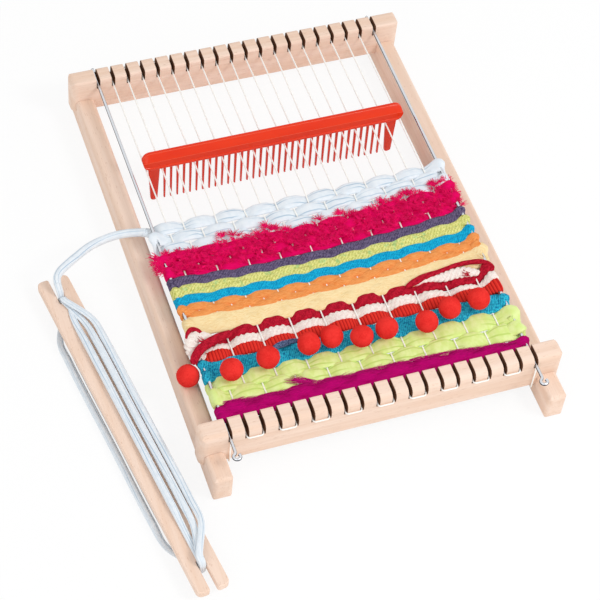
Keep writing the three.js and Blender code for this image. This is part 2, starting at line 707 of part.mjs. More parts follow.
function shuttle() {
  const half = SHUTTLE_WIDTH / 2;
  const notch = NOTCH_WIDTH / 2;
  const far = SHUTTLE_LENGTH;
  const outer = PRONG_OUTER_ROUND;
  const inner = PRONG_INNER_ROUND;
  const quarter = Math.PI / 2;
  const shape = new THREE.Shape();
  shape.moveTo(half, outer);
  shape.lineTo(half, far - outer);
  shape.absarc(half - outer, far - outer, outer, 0, quarter);
  shape.lineTo(notch + inner, far);
  shape.absarc(notch + inner, far - inner, inner, quarter, 2 * quarter);
  shape.lineTo(notch, far - NOTCH_DEPTH);
  shape.lineTo(-notch, far - NOTCH_DEPTH);
  shape.lineTo(-notch, far - inner);
  shape.absarc(-notch - inner, far - inner, inner, 0, quarter);
  shape.lineTo(outer - half, far);
  shape.absarc(outer - half, far - outer, outer, quarter, 2 * quarter);
  shape.lineTo(-half, outer);
  shape.absarc(outer - half, outer, outer, 2 * quarter, 3 * quarter);
  shape.lineTo(-notch - inner, 0);
  shape.absarc(-notch - inner, inner, inner, 3 * quarter, 4 * quarter);
  shape.lineTo(-notch, NOTCH_DEPTH);
  shape.lineTo(notch, NOTCH_DEPTH);
  shape.lineTo(notch, inner);
  shape.absarc(notch + inner, inner, inner, 2 * quarter, 3 * quarter);
  shape.lineTo(half - outer, 0);
  shape.absarc(half - outer, outer, outer, 3 * quarter, 4 * quarter);
  const geometry = new THREE.ExtrudeGeometry(shape, {
    depth: SHUTTLE_THICK - 2 * SHUTTLE_EDGE,
    bevelSize: SHUTTLE_EDGE,
    bevelOffset: -SHUTTLE_EDGE,
    bevelThickness: SHUTTLE_EDGE,
    bevelSegments: 1,
    curveSegments: 2,
  });
  return geometry.translate(0, 0, SHUTTLE_EDGE);
}

// Winding: turns pile up in the notches, fan out along the stick and lie side by side

const NEAR_NOTCH = NOTCH_DEPTH;
const FAR_NOTCH = SHUTTLE_LENGTH - NOTCH_DEPTH;

// The way through a notch: round the wood from one face of the stick to the other
function throughNotch(notch, outward, level, upward) {
  const radius = PILE_START + level * PILE_STEP;
  const out = new THREE.Vector3(0, outward, 0);
  const down = Z.clone().negate();
  const over = arcPoints(new THREE.Vector3(0, notch, SHUTTLE_THICK), Z, out, radius, 2);
  const middle = new THREE.Vector3(0, notch + outward * radius, SHUTTLE_THICK / 2);
  const under = arcPoints(new THREE.Vector3(0, notch, 0), out, down, radius, 2);
  const route = [...over, middle, ...under];
  const tight = route.map((at) => ({ at, slack: 0 }));
  return upward ? tight.reverse() : tight;
}

// A side of a turn from the far notch to the near one, on the top or under the stick
function alongStick(lane, top, farLevel, nearLevel) {
  const face = top ? SHUTTLE_THICK : 0;
  const up = top ? 1 : -1;
  const pile = (level) => face + up * (PILE_START + level * PILE_STEP);
  const lying = top
    ? SHUTTLE_THICK + CLEAR + SLACK_THICK / 2
    : TABLE_GAP + SLACK_THICK / 2 - SHUTTLE_HEIGHT;
  const spread = FAN_SHARE * lane;
  return [
    { at: new THREE.Vector3(spread, FAR_NOTCH - FAN_RUN, pile(farLevel)), slack: 0 },
    { at: new THREE.Vector3(lane, FAR_NOTCH - FAN_RUN - DROP_RUN, lying), slack: 1 },
    { at: new THREE.Vector3(lane, SHUTTLE_LENGTH / 2, lying), slack: 1 },
    { at: new THREE.Vector3(lane, NEAR_NOTCH + FAN_RUN + DROP_RUN, lying), slack: 1 },
    { at: new THREE.Vector3(spread, NEAR_NOTCH + FAN_RUN, pile(nearLevel)), slack: 0 },
  ];
}

function windingStations() {
  const marks = [];
  for (let turn = 0; turn < WIND_LOOPS; turn += 1) {
    const under = alongStick(UNDER_LANES[turn], false, turn, turn).reverse();
    marks.push(...alongStick(TOP_LANES[turn], true, Math.max(turn - 1, 0), turn));
    marks.push(...throughNotch(NEAR_NOTCH, -1, turn, false));
    marks.push(...under);
    marks.push(...throughNotch(FAR_NOTCH, 1, turn, true));
  }
  // The last way up ends above the notch, leaning outward, where the free yarn goes on.
  marks.splice(-3, 3);
  const radius = PILE_START + (WIND_LOOPS - 1) * PILE_STEP;
  const rim = new THREE.Vector3(0, FAR_NOTCH + radius, SHUTTLE_THICK);
  const above = rim.clone().add(new THREE.Vector3(0, EXIT_LEAN, EXIT_RISE));
  marks.push({ at: rim, slack: 0 });
  marks.push({ at: above, slack: 0.5 });
  marks.push({ at: above.clone().add(new THREE.Vector3(0, EXIT_REACH, EXIT_REACH)), slack: 1 });
  const ahead = headings(marks.map(({ at }) => at));
  return marks.map(({ at, slack }, i) => {
    const across = X.clone().addScaledVector(ahead[i], -ahead[i].x).normalize();
    const rise = ahead[i].clone().cross(across);
    const width = THREE.MathUtils.lerp(TIGHT_WIDTH, SLACK_WIDTH, slack);
    const thick = THREE.MathUtils.lerp(TIGHT_THICK, SLACK_THICK, slack);
    // The thickness is measured between two flats of the section.
    const flats = Math.sin(Math.PI / 3);
    return { at, across: across.multiplyScalar(width / 2), rise: rise.multiplyScalar(thick / 2 / flats) };
  });
}

// The least distance between points of the winding that lie far apart along it
function leastGap(stations, sides, apart) {
  const samples = [];
  let along = 0;
  for (let i = 1; i < stations.length; i += 1) {
    const step = stations[i].at.distanceTo(stations[i - 1].at);
    const count = Math.ceil(step);
    for (let n = 0; n < count; n += 1) {
      const t = n / count;
      const mix = (key) => stations[i - 1][key].clone().lerp(stations[i][key], t);
      const section = { at: mix("at"), across: mix("across"), rise: mix("rise") };
      for (const point of sectionCorners(section, sides)) {
        samples.push({ point, along: along + t * step });
      }
    }
    along += step;
  }
  let least = Infinity;
  for (let i = 0; i < samples.length; i += 1) {
    for (let j = i + 1; j < samples.length; j += 1) {
      if (samples[j].along - samples[i].along > apart) {
        least = Math.min(least, samples[i].point.distanceToSquared(samples[j].point));
      }
    }
  }
  return Math.sqrt(least);
}

// Free yarn

function freeYarn() {
  const curve = new THREE.CatmullRomCurve3(
    FREE_YARN_ROUTE.map(([x, y, z]) => new THREE.Vector3(x, y, z)),
    false,
    "centripetal",
  );
  return roundTube(curve.getSpacedPoints(YARN_STEPS), YARN, YARN_SIDES);
}

// Put it all together

add("left_rail", geometryOf(sideRail(-1)), WOOD);
add("right_rail", geometryOf(sideRail(1)), WOOD);
add("front_bar", geometryOf(slottedBar(0, BAR_OUTER_ROUND, BAR_INNER_ROUND)), WOOD);
add("back_bar", geometryOf(slottedBar(BACK_BAR, BAR_INNER_ROUND, BAR_OUTER_ROUND)), WOOD);
for (const [name, x, y] of SCREW_PLACES) {
  add(name, geometryOf(screw(x, y)), STEEL);
}
for (const side of [-1, 1]) {
  const x = side * RAIL_MIDDLE;
  const half = RAIL_WIDTH / 2;
  supports.push({ x0: x - half, x1: x + half, y0: -RAIL_NOSE, y1: BACK_FACE, top: RAIL_HEIGHT });
}

add("warp", warp(), COTTON);
add("edge_rod_left", edgeRod(-OUTER_SLOT), STEEL);
add("edge_rod_right", edgeRod(OUTER_SLOT), STEEL);

let rowStart = FIRST_ROW;
for (const { name, width, thick, colour } of YARN_ROWS) {
  const rowEnd = rowStart + width;
  add(name, geometryOf(weft(rowStart, rowEnd, thick)), { color: colour, roughness: 0.95, metalness: 0 });
  supports.push({
    x0: -WEFT_HALF,
    x1: WEFT_HALF,
    y0: rowStart,
    y1: rowEnd,
    top: WARP_HEIGHT + thick / 2,
  });
  rowStart = rowEnd + ROW_GAP;
}
POM_POM_PLACES.forEach(([x, y], i) => {
  add(`pom_pom_${String(i + 1).padStart(2, "0")}`, pomPom(x, y), POM_POM_RED);
});

const combGroup = new THREE.Group();
combGroup.position.set(0, COMB_PLACE, COMB_HEIGHT);
combGroup.rotation.x = COMB_TILT;
loom.add(combGroup);
add("comb", geometryOf(comb()), PLASTIC, combGroup);

const shuttleGroup = new THREE.Group();
shuttleGroup.position.set(SHUTTLE_FOOT[0], SHUTTLE_FOOT[1], SHUTTLE_HEIGHT);
shuttleGroup.rotation.z = SHUTTLE_TURN;
loom.add(shuttleGroup);
add("shuttle", shuttle(), WOOD, shuttleGroup);
const winding = windingStations();
add("shuttle_winding", tube(winding, WIND_SIDES), LIGHT_YARN, shuttleGroup);
const gap = leastGap(winding, WIND_SIDES, TURN_APART);
console.log(`The winding's least gap to itself is ${gap.toFixed(2)} mm.`);

add("free_yarn", freeYarn(), LIGHT_YARN);

// Centre the part, without its free yarn, on the origin
loom.updateMatrixWorld(true);
const box = new THREE.Box3();
for (const piece of pieces) {
  if (piece.name !== "free_yarn") {
    box.expandByObject(piece, true);
  }
}
const centre = box.getCenter(new THREE.Vector3());
loom.position.set(-centre.x, -centre.y, 0);

const part = new THREE.Group();
part.add(loom);

export default part;
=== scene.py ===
"""The looks of the table-top weaving loom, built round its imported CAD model.

The CAD model holds every piece at its real size. This script gives the wood and steel
their finish, and replaces the plain solids of the weaving with real yarn: rows that go
over and under the warp and turn round the edge rods, a fringe of fine strands, a ribbed
braid with felt pom-poms, and the yarn that runs from the shuttle into the newest row.

Lengths are in millimetres in the weaving's own frame until a mesh is made: x = 0 is the
middle of the loom, y = 0 the front bar's front face and z = 0 the table.
"""

import math
from dataclasses import dataclass, replace

import bmesh
import bpy
import numpy as np
from mathutils import Matrix, Vector


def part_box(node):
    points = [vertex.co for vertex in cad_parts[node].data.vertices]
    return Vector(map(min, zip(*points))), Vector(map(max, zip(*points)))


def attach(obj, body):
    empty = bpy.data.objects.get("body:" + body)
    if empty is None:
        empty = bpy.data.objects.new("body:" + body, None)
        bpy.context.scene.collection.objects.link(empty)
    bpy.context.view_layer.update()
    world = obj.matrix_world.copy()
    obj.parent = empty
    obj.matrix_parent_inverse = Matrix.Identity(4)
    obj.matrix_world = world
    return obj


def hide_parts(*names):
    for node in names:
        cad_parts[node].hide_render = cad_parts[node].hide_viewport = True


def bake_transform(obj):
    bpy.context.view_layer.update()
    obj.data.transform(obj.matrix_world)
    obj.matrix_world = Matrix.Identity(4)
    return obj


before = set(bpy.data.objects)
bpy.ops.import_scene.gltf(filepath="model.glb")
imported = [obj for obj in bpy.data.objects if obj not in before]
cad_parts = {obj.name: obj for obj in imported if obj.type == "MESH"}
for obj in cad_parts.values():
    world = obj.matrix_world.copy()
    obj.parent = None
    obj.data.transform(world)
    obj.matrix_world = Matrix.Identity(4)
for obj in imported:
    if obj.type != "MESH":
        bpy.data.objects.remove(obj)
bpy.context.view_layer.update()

MM = 0.001
bar_low, bar_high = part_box("front_bar")
ORIGIN = np.array([(bar_low.x + bar_high.x) / 2, bar_low.y, 0.0])

# Sizes repeated from the CAD source
SLOT_PITCH = 10.0
OUTER_SLOT = 95.0
SLOT_COUNT = 20
BAR_THICK = 12.5
WARP_ROOM = 269.8
BACK_BAR = BAR_THICK + WARP_ROOM
BACK_FACE = BACK_BAR + BAR_THICK
BAR_SEAT = 10.3
CLEAR = 0.3

WARP_Z = 29.3
THREAD = 1.0
LOOP_STAND_OFF = 0.9
LOOP_BEND = 1.7
THREAD_TAIL = 10.0
FELL = 163.0  # the newest row's far edge
LANE_START = FELL - 15
LANE_FROM = FELL + 3

ROD = 2.0
ROD_Z = WARP_Z + THREAD / 2 + CLEAR + ROD / 2
ROD_TAIL = 2.5
EYE_REACH = 12.0
EYE_LOOP = 2.0
EYE_BEND = 2.5
EYE_END_ANGLE = math.radians(35)

COMB_PLACE = 208.0
COMB_HEIGHT = 30.27
COMB_TILT = math.radians(-3)
SPINE_LENGTH = 174.0
SPINE_DEPTH = 6.5
SPINE_HEIGHT = 10.6
SPINE_LIP = 1.7
SPINE_FACE_SET_BACK = 0.55
SPINE_RIDGE = 6.3
SPINE_CREST_WIDTH = 2.4
TOOTH_COUNT = 35
TOOTH_PITCH = 4.27
TOOTH_WIDTH = 1.6
TOOTH_TIP_WIDTH = 1.1
TOOTH_DEPTH = 2.0
TOOTH_LENGTH = 29.86
TOOTH_ROOT = 2.5
POST_REACH = TOOTH_PITCH * (TOOTH_COUNT - 1) / 2 + 7
POST_WIDTH = 7.5
POST_TIP_WIDTH = 4.6
POST_DEPTH = 3.0

POM_POM_COUNT = 10

SHUTTLE_FOOT = (-128.1, -78.5)
SHUTTLE_TURN = math.radians(7.8)
SHUTTLE_LENGTH = 235.0
SHUTTLE_WIDTH = 20.0
SHUTTLE_THICK = 5.0
SHUTTLE_HEIGHT = 5.5
SHUTTLE_EDGE = 0.9
NOTCH_WIDTH = 4.6
NOTCH_DEPTH = 20.0
PRONG_OUTER_ROUND = 4.0
PRONG_INNER_ROUND = 1.8
NOTCH_ROUND = 0.8

WIND_LOOPS = 3
TIGHT_WIDTH = 4.0
TIGHT_THICK = 1.3
SLACK_WIDTH = 4.6
SLACK_THICK = 3.4
PILE_START = CLEAR + TIGHT_THICK / 2
PILE_STEP = TIGHT_THICK + 0.55
TABLE_GAP = 0.2
TOP_LANES = (0, 6, 11.2)
UNDER_LANES = (-1, -6.6, -12.2)
FAN_RUN = 20.0
FAN_SHARE = 0.9
DROP_RUN = 17.0
EXIT_RISE = 2.5
EXIT_LEAN = 1.0
EXIT_REACH = 3.5

FREE_YARN = 5.2
FREE_YARN_ROUTE = (
    (-158.6, 144.2, 16.9),
    (-158.2, 146.9, 19.5),
    (-156, 149, 21.9),
    (-151.4, 151.4, 23.8),
    (-144, 155.5, 24.8),
    (-133.6, 161.3, 24.6),
    (-121.9, 164.9, 24.2),
    (-112.2, 165.4, 24.5),
    (-104.4, 163.4, 25.7),
    (-98.3, 160.3, 27.6),
)


def to_frame(points):
    """Millimetres in the weaving's frame as metres in the row frame."""
    return ORIGIN + MM * np.asarray(points, float)


def from_frame(point):
    """A point in the row frame as millimetres in the weaving's frame."""
    return (np.asarray(point, float) - ORIGIN) / MM


def cad_box(node):
    """Lowest and highest corner of a CAD node, in millimetres in the weaving's frame."""
    low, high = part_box(node)
    return from_frame(low), from_frame(high)


def slot_x(k):
    """Where a bar's slot lies. Slots are counted from the left."""
    return k * SLOT_PITCH - OUTER_SLOT


# Camera, at the photograph's viewing angle

CAMERA_AT = (-331.7, -590.3, 1006.2)
CAMERA_RIGHT = Vector((0.94419, -0.32061, 0.07555))
CAMERA_DOWN = Vector((-0.21376, -0.77091, -0.60000))
CAMERA_AHEAD = Vector((0.25061, 0.55036, -0.79643))
LENS = 122.4
SENSOR = 36.0


def make_camera():
    data = bpy.data.cameras.new("camera")
    data.lens = LENS
    data.sensor_width = SENSOR
    data.clip_end = 20
    camera = bpy.data.objects.new("camera", data)
    turn = Matrix((CAMERA_RIGHT, -CAMERA_DOWN, -CAMERA_AHEAD)).transposed().to_4x4()
    camera.matrix_world = Matrix.Translation(Vector(to_frame(CAMERA_AT))) @ turn
    bpy.context.scene.collection.objects.link(camera)
    bpy.context.scene.camera = camera


# Meshes

UV_MAP = "strand"


class Shape:
    """Gathers tubes and other surfaces into one mesh. Each face corner has a UV, and each
    point a tone, which a material may read."""

    def __init__(self):
        self.points = []
        self.faces = []
        self.uvs = []
        self.tones = []
        self.count = 0

    def add(self, points, faces, uvs, tone=0.0):
        """Faces index into points. uvs has one (u, v) for each corner of each face."""
        self.points.append(np.asarray(points, float))
        self.faces.extend([[i + self.count for i in face] for face in faces])
        self.uvs.extend(uvs)
        self.tones.append(np.broadcast_to(np.asarray(tone, float).ravel(), (len(points),)))
        self.count += len(points)

    def build(self, name, material, body, nodes=()):
        mesh = bpy.data.meshes.new(name)
        mesh.from_pydata(to_frame(np.vstack(self.points)).tolist(), [], self.faces)
        layer = mesh.uv_layers.new(name=UV_MAP)
        layer.data.foreach_set("uv", np.asarray(self.uvs, np.float32).ravel())
        tone = mesh.attributes.new("tone", "FLOAT", "POINT")
        tone.data.foreach_set("value", np.concatenate(self.tones).astype(np.float32))
        mesh.shade_smooth()
        mesh.materials.append(material)
        piece = bpy.data.objects.new(name, mesh)
        bpy.context.scene.collection.objects.link(piece)
        if body:
            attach(piece, body)
        if nodes:
            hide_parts(*nodes)
        return piece


def unit(vectors):
    vectors = np.asarray(vectors, float)
    return vectors / np.linalg.norm(vectors, axis=-1, keepdims=True)


def directions(path):
    """The direction of travel at each point of a path, halfway between its neighbours."""
    steps = unit(np.diff(np.asarray(path, float), axis=0))
    arriving = np.vstack([steps[:1], steps])
    leaving = np.vstack([steps, steps[-1:]])
    return unit(arriving + leaving)


LYING = 0.45  # a path lies flat where its direction, seen from above, is longer than this


def turning_frame(path, start, level=False):
    """Sideways and upward directions that turn as little as the path allows. With level,
    they also come back to lie flat wherever the path does."""
    ahead = directions(path)
    across = np.empty_like(ahead)
    side = np.asarray(start, float)
    for i, direction in enumerate(ahead):
        side = unit(side - direction * (side @ direction))
        flat = np.array([-direction[1], direction[0], 0.0])
        if level and np.linalg.norm(flat) > LYING:
            flat = unit(flat) * (1 if flat @ side >= 0 else -1)
            side = unit(side + flat)
        across[i] = side
    return across, np.cross(ahead, across)


def lengths_along(path):
    steps = np.linalg.norm(np.diff(path[:, :3], axis=0), axis=1)
    return np.concatenate([[0], np.cumsum(steps)])


def ring_faces(count, sides):
    """The faces between one ring of points and the next, and a cap at both ends."""
    faces = []
    for here in range(0, (count - 1) * sides, sides):
        for j in range(sides):
            k = (j + 1) % sides
            faces.append((here + j, here + k, here + sides + k, here + sides + j))
    faces.append(tuple(range(sides - 1, -1, -1)))
    faces.append(tuple(range((count - 1) * sides, count * sides)))
    return faces


def loft(shape, rings, along=None, tone=0.0):
    """A closed surface through rings of points, capped at both ends."""
    rings = np.asarray(rings, float)
    count, sides = rings.shape[:2]
    along = lengths_along(rings.mean(axis=1)) if along is None else along
    uvs = []
    for start, end in zip(along[:-1], along[1:]):
        for j in range(sides):
            low, high = j / sides, (j + 1) / sides
            uvs += [(start, low), (start, high), (end, high), (end, low)]
    uvs += [(along[0], 0.5)] * sides + [(along[-1], 0.5)] * sides
    shape.add(rings.reshape(-1, 3), ring_faces(count, sides), uvs, tone)


def angles_round(sides):
    return np.linspace(0, 2 * math.pi, sides, endpoint=False)


def sweep(shape, path, across, rise, sides, profile=None, tone=0.0):
    """A tube along a path. across and rise are its half axes at each point, and profile
    multiplies its radius for each point and side."""
    path = np.asarray(path, float)
    angle = angles_round(sides)
    ring = np.cos(angle)[None, :, None] * across[:, None, :]
    ring = ring + np.sin(angle)[None, :, None] * rise[:, None, :]
    if profile is not None:
        ring = ring * profile[:, :, None]
    loft(shape, path[:, None, :] + ring, lengths_along(path), tone)


def round_tube(shape, path, radius, sides, start=(0, 0, 1)):
    across, rise = turning_frame(path, start)
    sweep(shape, path, across * radius, rise * radius, sides)


CURVE_STEPS = 24


def smooth_path(points, step):
    """A centripetal Catmull-Rom curve through the points, in even steps."""

    def blend(t, t0, t1, p0, p1):
        return (t1 - t) / (t1 - t0) * p0 + (t - t0) / (t1 - t0) * p1

    points = np.asarray(points, float)
    before = 2 * points[0] - points[1]
    after = 2 * points[-1] - points[-2]
    knots = np.vstack([before, points, after])
    curve = []
    for i in range(len(knots) - 3):
        p0, p1, p2, p3 = knots[i : i + 4]
        t0 = 0.0
        t1 = t0 + math.sqrt(np.linalg.norm(p1 - p0))
        t2 = t1 + math.sqrt(np.linalg.norm(p2 - p1))
        t3 = t2 + math.sqrt(np.linalg.norm(p3 - p2))
        for t in np.linspace(t1, t2, CURVE_STEPS, endpoint=False):
            middle = blend(t, t1, t2, p1, p2)
            first = blend(t, t0, t2, blend(t, t0, t1, p0, p1), middle)
            second = blend(t, t1, t3, middle, blend(t, t2, t3, p2, p3))
            curve.append(blend(t, t1, t2, first, second))
    curve.append(points[-1])
    return even_steps(np.array(curve), step)


def even_steps(path, step):
    along = lengths_along(path)
    count = max(2, round(along[-1] / step) + 1)
    at = np.linspace(0, along[-1], count)
    return np.stack([np.interp(at, along, column) for column in path.T], axis=1)


def quarter_turn(centre, start, end, radius, steps=4):
    """Points on a quarter turn in the plane of two directions, from one to the other."""
    centre, start, end = (np.asarray(v, float) for v in (centre, start, end))
    turns = np.linspace(0, math.pi / 2, steps + 1)
    return [centre + radius * (math.cos(turn) * start + math.sin(turn) * end) for turn in turns]


def rounded_outline(corners, radii, steps):
    """A closed outline through corners, each rounded by its radius."""
    corners = [np.asarray(corner, float) for corner in corners]
    outline = []
    for i, corner in enumerate(corners):
        before = unit(corners[i - 1] - corner)
        after = unit(corners[(i + 1) % len(corners)] - corner)
        opening = math.acos(max(-1, min(1, before @ after)))
        reach = radii[i] / math.tan(opening / 2)
        start, end = corner + before * reach, corner + after * reach
        for t in np.linspace(0, 1, steps):
            outline.append((1 - t) ** 2 * start + 2 * t * (1 - t) * corner + t**2 * end)
    return np.array(outline)


def wander(rng, along, spacing, amount):
    """A value that drifts slowly along a strand, by about amount to either side of 0."""
    knots = np.arange(0, along[-1] + 2 * spacing, spacing)
    return np.interp(along, knots, rng.normal(0, amount, len(knots)))


# Materials


def linear(rgb):
    """An sRGB colour with channels 0 to 255, as the linear RGBA that shaders take."""

    def channel(value):
        share = value / 255
        return share / 12.92 if share <= 0.04045 else ((share + 0.055) / 1.055) ** 2.4

    return (*(channel(value) for value in rgb), 1.0)


class Nodes:
    """The node tree of a new material or world, with short ways to add and join nodes."""

    def __init__(self, name, kind="materials"):
        self.owner = getattr(bpy.data, kind).new(name)
        self.owner.use_nodes = True
        self.tree = self.owner.node_tree
        self.shader = self.tree.nodes.get("Principled BSDF")

    def add(self, kind, **settings):
        node = self.tree.nodes.new(kind)
        for key, value in settings.items():
            setattr(node, key, value)
        return node

    def join(self, source, target):
        self.tree.links.new(source, target)

    def feed(self, socket, value):
        if isinstance(value, bpy.types.NodeSocket):
            self.join(value, socket)
        else:
            socket.default_value = value

    def math(self, operation, first, second=0.0, third=0.0):
        node = self.add("ShaderNodeMath", operation=operation)
        for socket, value in zip(node.inputs, (first, second, third)):
            self.feed(socket, value)
        return node.outputs[0]

    def coordinates(self, scale):
        mapping = self.add("ShaderNodeMapping")
        mapping.inputs["Scale"].default_value = scale
        self.join(self.add("ShaderNodeTexCoord").outputs["Object"], mapping.inputs["Vector"])
        return mapping.outputs["Vector"]

    def strand(self):
        """Distance along a strand in millimetres, and turn round it from 0 to 1."""
        split = self.add("ShaderNodeSeparateXYZ")
        self.join(self.add("ShaderNodeUVMap", uv_map=UV_MAP).outputs[0], split.inputs[0])
        return split.outputs["X"], split.outputs["Y"]

    def spiral(self, along, turn, run):
        """Turns of a right-handed twist, one for each run along the strand."""
        return self.scaled(along, 1 / run, turn)

    def waves(self, turns, count):
        """A wave from -1 to 1, with count crests for each turn."""
        return self.math("COSINE", self.math("MULTIPLY", turns, 2 * math.pi * count))

    def vector(self, x, y, z=0.0):
        node = self.add("ShaderNodeCombineXYZ")
        for socket, value in zip(node.inputs, (x, y, z)):
            self.feed(socket, value)
        return node.outputs[0]

    def noise(self, scale, at=None, detail=2.0, roughness=0.5):
        """Noise, with scale lumps to the metre, or as many as scale has for each axis. at
        is another vector to look it up at."""
        stretched = isinstance(scale, tuple)
        if at is None:
            at = self.coordinates(scale if stretched else (1, 1, 1))
        node = self.add("ShaderNodeTexNoise")
        self.feed(node.inputs["Vector"], at)
        node.inputs["Scale"].default_value = 1 if stretched else scale
        node.inputs["Detail"].default_value = detail
        node.inputs["Roughness"].default_value = roughness
        return node.outputs["Fac"]

    def tone(self):
        return self.add("ShaderNodeAttribute", attribute_name="tone").outputs["Fac"]

    def ramp(self, value, low, high):
        node = self.add("ShaderNodeMapRange", clamp=True)
        node.interpolation_type = "SMOOTHSTEP"
        self.feed(node.inputs["Value"], value)
        node.inputs["From Min"].default_value = low
        node.inputs["From Max"].default_value = high
        return node.outputs["Result"]

    def mix(self, share, first, second):
        node = self.add("ShaderNodeMix", data_type="RGBA")
        self.feed(node.inputs["Factor"], share)
        self.feed(node.inputs["A"], first)
        self.feed(node.inputs["B"], second)
        return node.outputs["Result"]

    def between(self, value, low, high, first, second):
        """The first colour where value is low, and the second where it is high."""
        return self.mix(self.ramp(value, low, high), linear(first), linear(second))

    def tinted(self, base, value, low, high, share, colour):
        """The base, with a share of another colour where value is high."""
        return self.mix(self.part(self.ramp(value, low, high), share), base, linear(colour))

    def scaled(self, value, by, plus):
        return self.math("MULTIPLY_ADD", value, by, plus)

    def part(self, value, share):
        return self.math("MULTIPLY", value, share)

    def bump(self, height, distance, strength=1.0):
        node = self.add("ShaderNodeBump")
        node.inputs["Strength"].default_value = strength
        node.inputs["Distance"].default_value = distance * MM
        self.join(height, node.inputs["Height"])
        self.join(node.outputs["Normal"], self.shader.inputs["Normal"])

    def set(self, **sockets):
        for name, value in sockets.items():
            self.feed(self.shader.inputs[name.replace("_", " ")], value)


def beech(name, grain):
    """Planed beech: pale, with soft bands and short dark flecks along the grain axis."""
    nodes = Nodes(name)

    def stretched(across, along):
        return tuple(along if axis == grain else across for axis in "XYZ")

    bands = nodes.noise(stretched(150, 9), detail=3, roughness=0.6)
    lines = nodes.noise(stretched(900, 14))
    flecks = nodes.noise(stretched(1700, 240), detail=1)
    pores = nodes.noise(stretched(3200, 330), detail=1)
    pale = nodes.between(bands, 0.34, 0.68, (243, 217, 199), (236, 205, 183))
    lined = nodes.tinted(pale, lines, 0.45, 0.75, 0.25, (220, 184, 158))
    flecked = nodes.tinted(lined, flecks, 0.66, 0.73, 0.4, (196, 152, 124))
    nodes.set(Base_Color=flecked, Roughness=nodes.scaled(lines, 0.12, 0.5))
    nodes.set(Specular_IOR_Level=0.35)
    nodes.bump(nodes.scaled(pores, 0.6, lines), 0.05, 0.5)
    return nodes.owner


def saw_cut_with_painted_shade(name):
    """The walls of a saw slot: rough, and darker than planed wood, partly as sawn end grain and partly as
    painted shade for the slot's depths.
    """
    nodes = Nodes(name)
    marks = nodes.noise((200, 300, 2400), detail=3)
    clouds = nodes.noise(260)
    mixed = nodes.part(nodes.math("ADD", marks, clouds), 0.5)
    # dark brown: sawn end grain's own colour together with painted shade for the slot's depths
    nodes.set(Base_Color=nodes.between(mixed, 0.35, 0.65, (112, 78, 56), (146, 106, 80)))
    nodes.set(Roughness=0.85, Specular_IOR_Level=0.1)
    nodes.bump(marks, 0.12, 0.6)
    return nodes.owner


def steel(name, roughness):
    """Plain steel with faint scratches."""
    nodes = Nodes(name)
    lines = nodes.noise((2600, 60, 2600))
    nodes.set(Base_Color=nodes.between(lines, 0.3, 0.7, (205, 208, 212), (165, 168, 174)))
    nodes.set(Metallic=1.0, Roughness=nodes.scaled(lines, 0.1, roughness))
    nodes.bump(lines, 0.01, 0.3)
    return nodes.owner


def wire_with_painted_light(name):
    """Drawn wire, with a painted highlight along its top and painted shade down its sides."""
    nodes = Nodes(name)
    along, turn = nodes.strand()
    lines = nodes.noise(1, nodes.vector(nodes.part(along, 0.05), nodes.part(turn, 40)))
    # painted highlight on the wire's top and painted shade down its sides, standing in for its reflection
    top = nodes.math("ABSOLUTE", nodes.waves(turn, 1))
    shade = nodes.scaled(nodes.math("SUBTRACT", lines, 0.5), 0.4, top)
    nodes.set(Base_Color=nodes.between(shade, 0.35, 0.8, (78, 80, 86), (216, 219, 224)))
    nodes.set(Metallic=1.0, Roughness=nodes.scaled(lines, 0.1, 0.16))
    nodes.bump(lines, 0.01, 0.3)
    return nodes.owner


def moulded_plastic(name):
    """Glossy moulded plastic with a barely uneven skin, and a painted highlight along the edges that the
    tone marks.
    """
    nodes = Nodes(name)
    skin = nodes.noise(90, detail=1)
    flow = nodes.noise((30, 90, 90))
    colour = nodes.between(flow, 0.3, 0.7, (232, 52, 5), (225, 45, 4))
    # painted highlight: paler colour where the tone marks the spine's top edge, ridge and lip
    painted_highlight = nodes.part(nodes.ramp(nodes.tone(), 0.2, 1), nodes.scaled(flow, 0.8, 0.1))
    nodes.set(Base_Color=nodes.mix(painted_highlight, colour, linear((255, 150, 120))))
    nodes.set(Roughness=nodes.scaled(skin, 0.06, 0.14))
    nodes.set(Specular_IOR_Level=0.27)
    nodes.bump(skin, 0.03, 0.2)
    return nodes.owner


def thread(name):
    """Cotton thread: tight plies that show as fine slanting lines, painted a little darker as shade where
    the plies meet.
    """
    nodes = Nodes(name)
    along, turn = nodes.strand()
    plies = nodes.waves(nodes.spiral(along, turn, 1.8), 3)
    fuzz = nodes.noise(2200)
    # painted shade: a little darker in the valleys between the plies
    nodes.set(Base_Color=nodes.between(plies, -1, 0.6, (248, 245, 238), (255, 255, 252)))
    nodes.set(Roughness=0.85, Specular_IOR_Level=0.2, Sheen_Weight=0.1)
    nodes.bump(nodes.scaled(fuzz, 0.5, plies), 0.04, 0.5)
    return nodes.owner


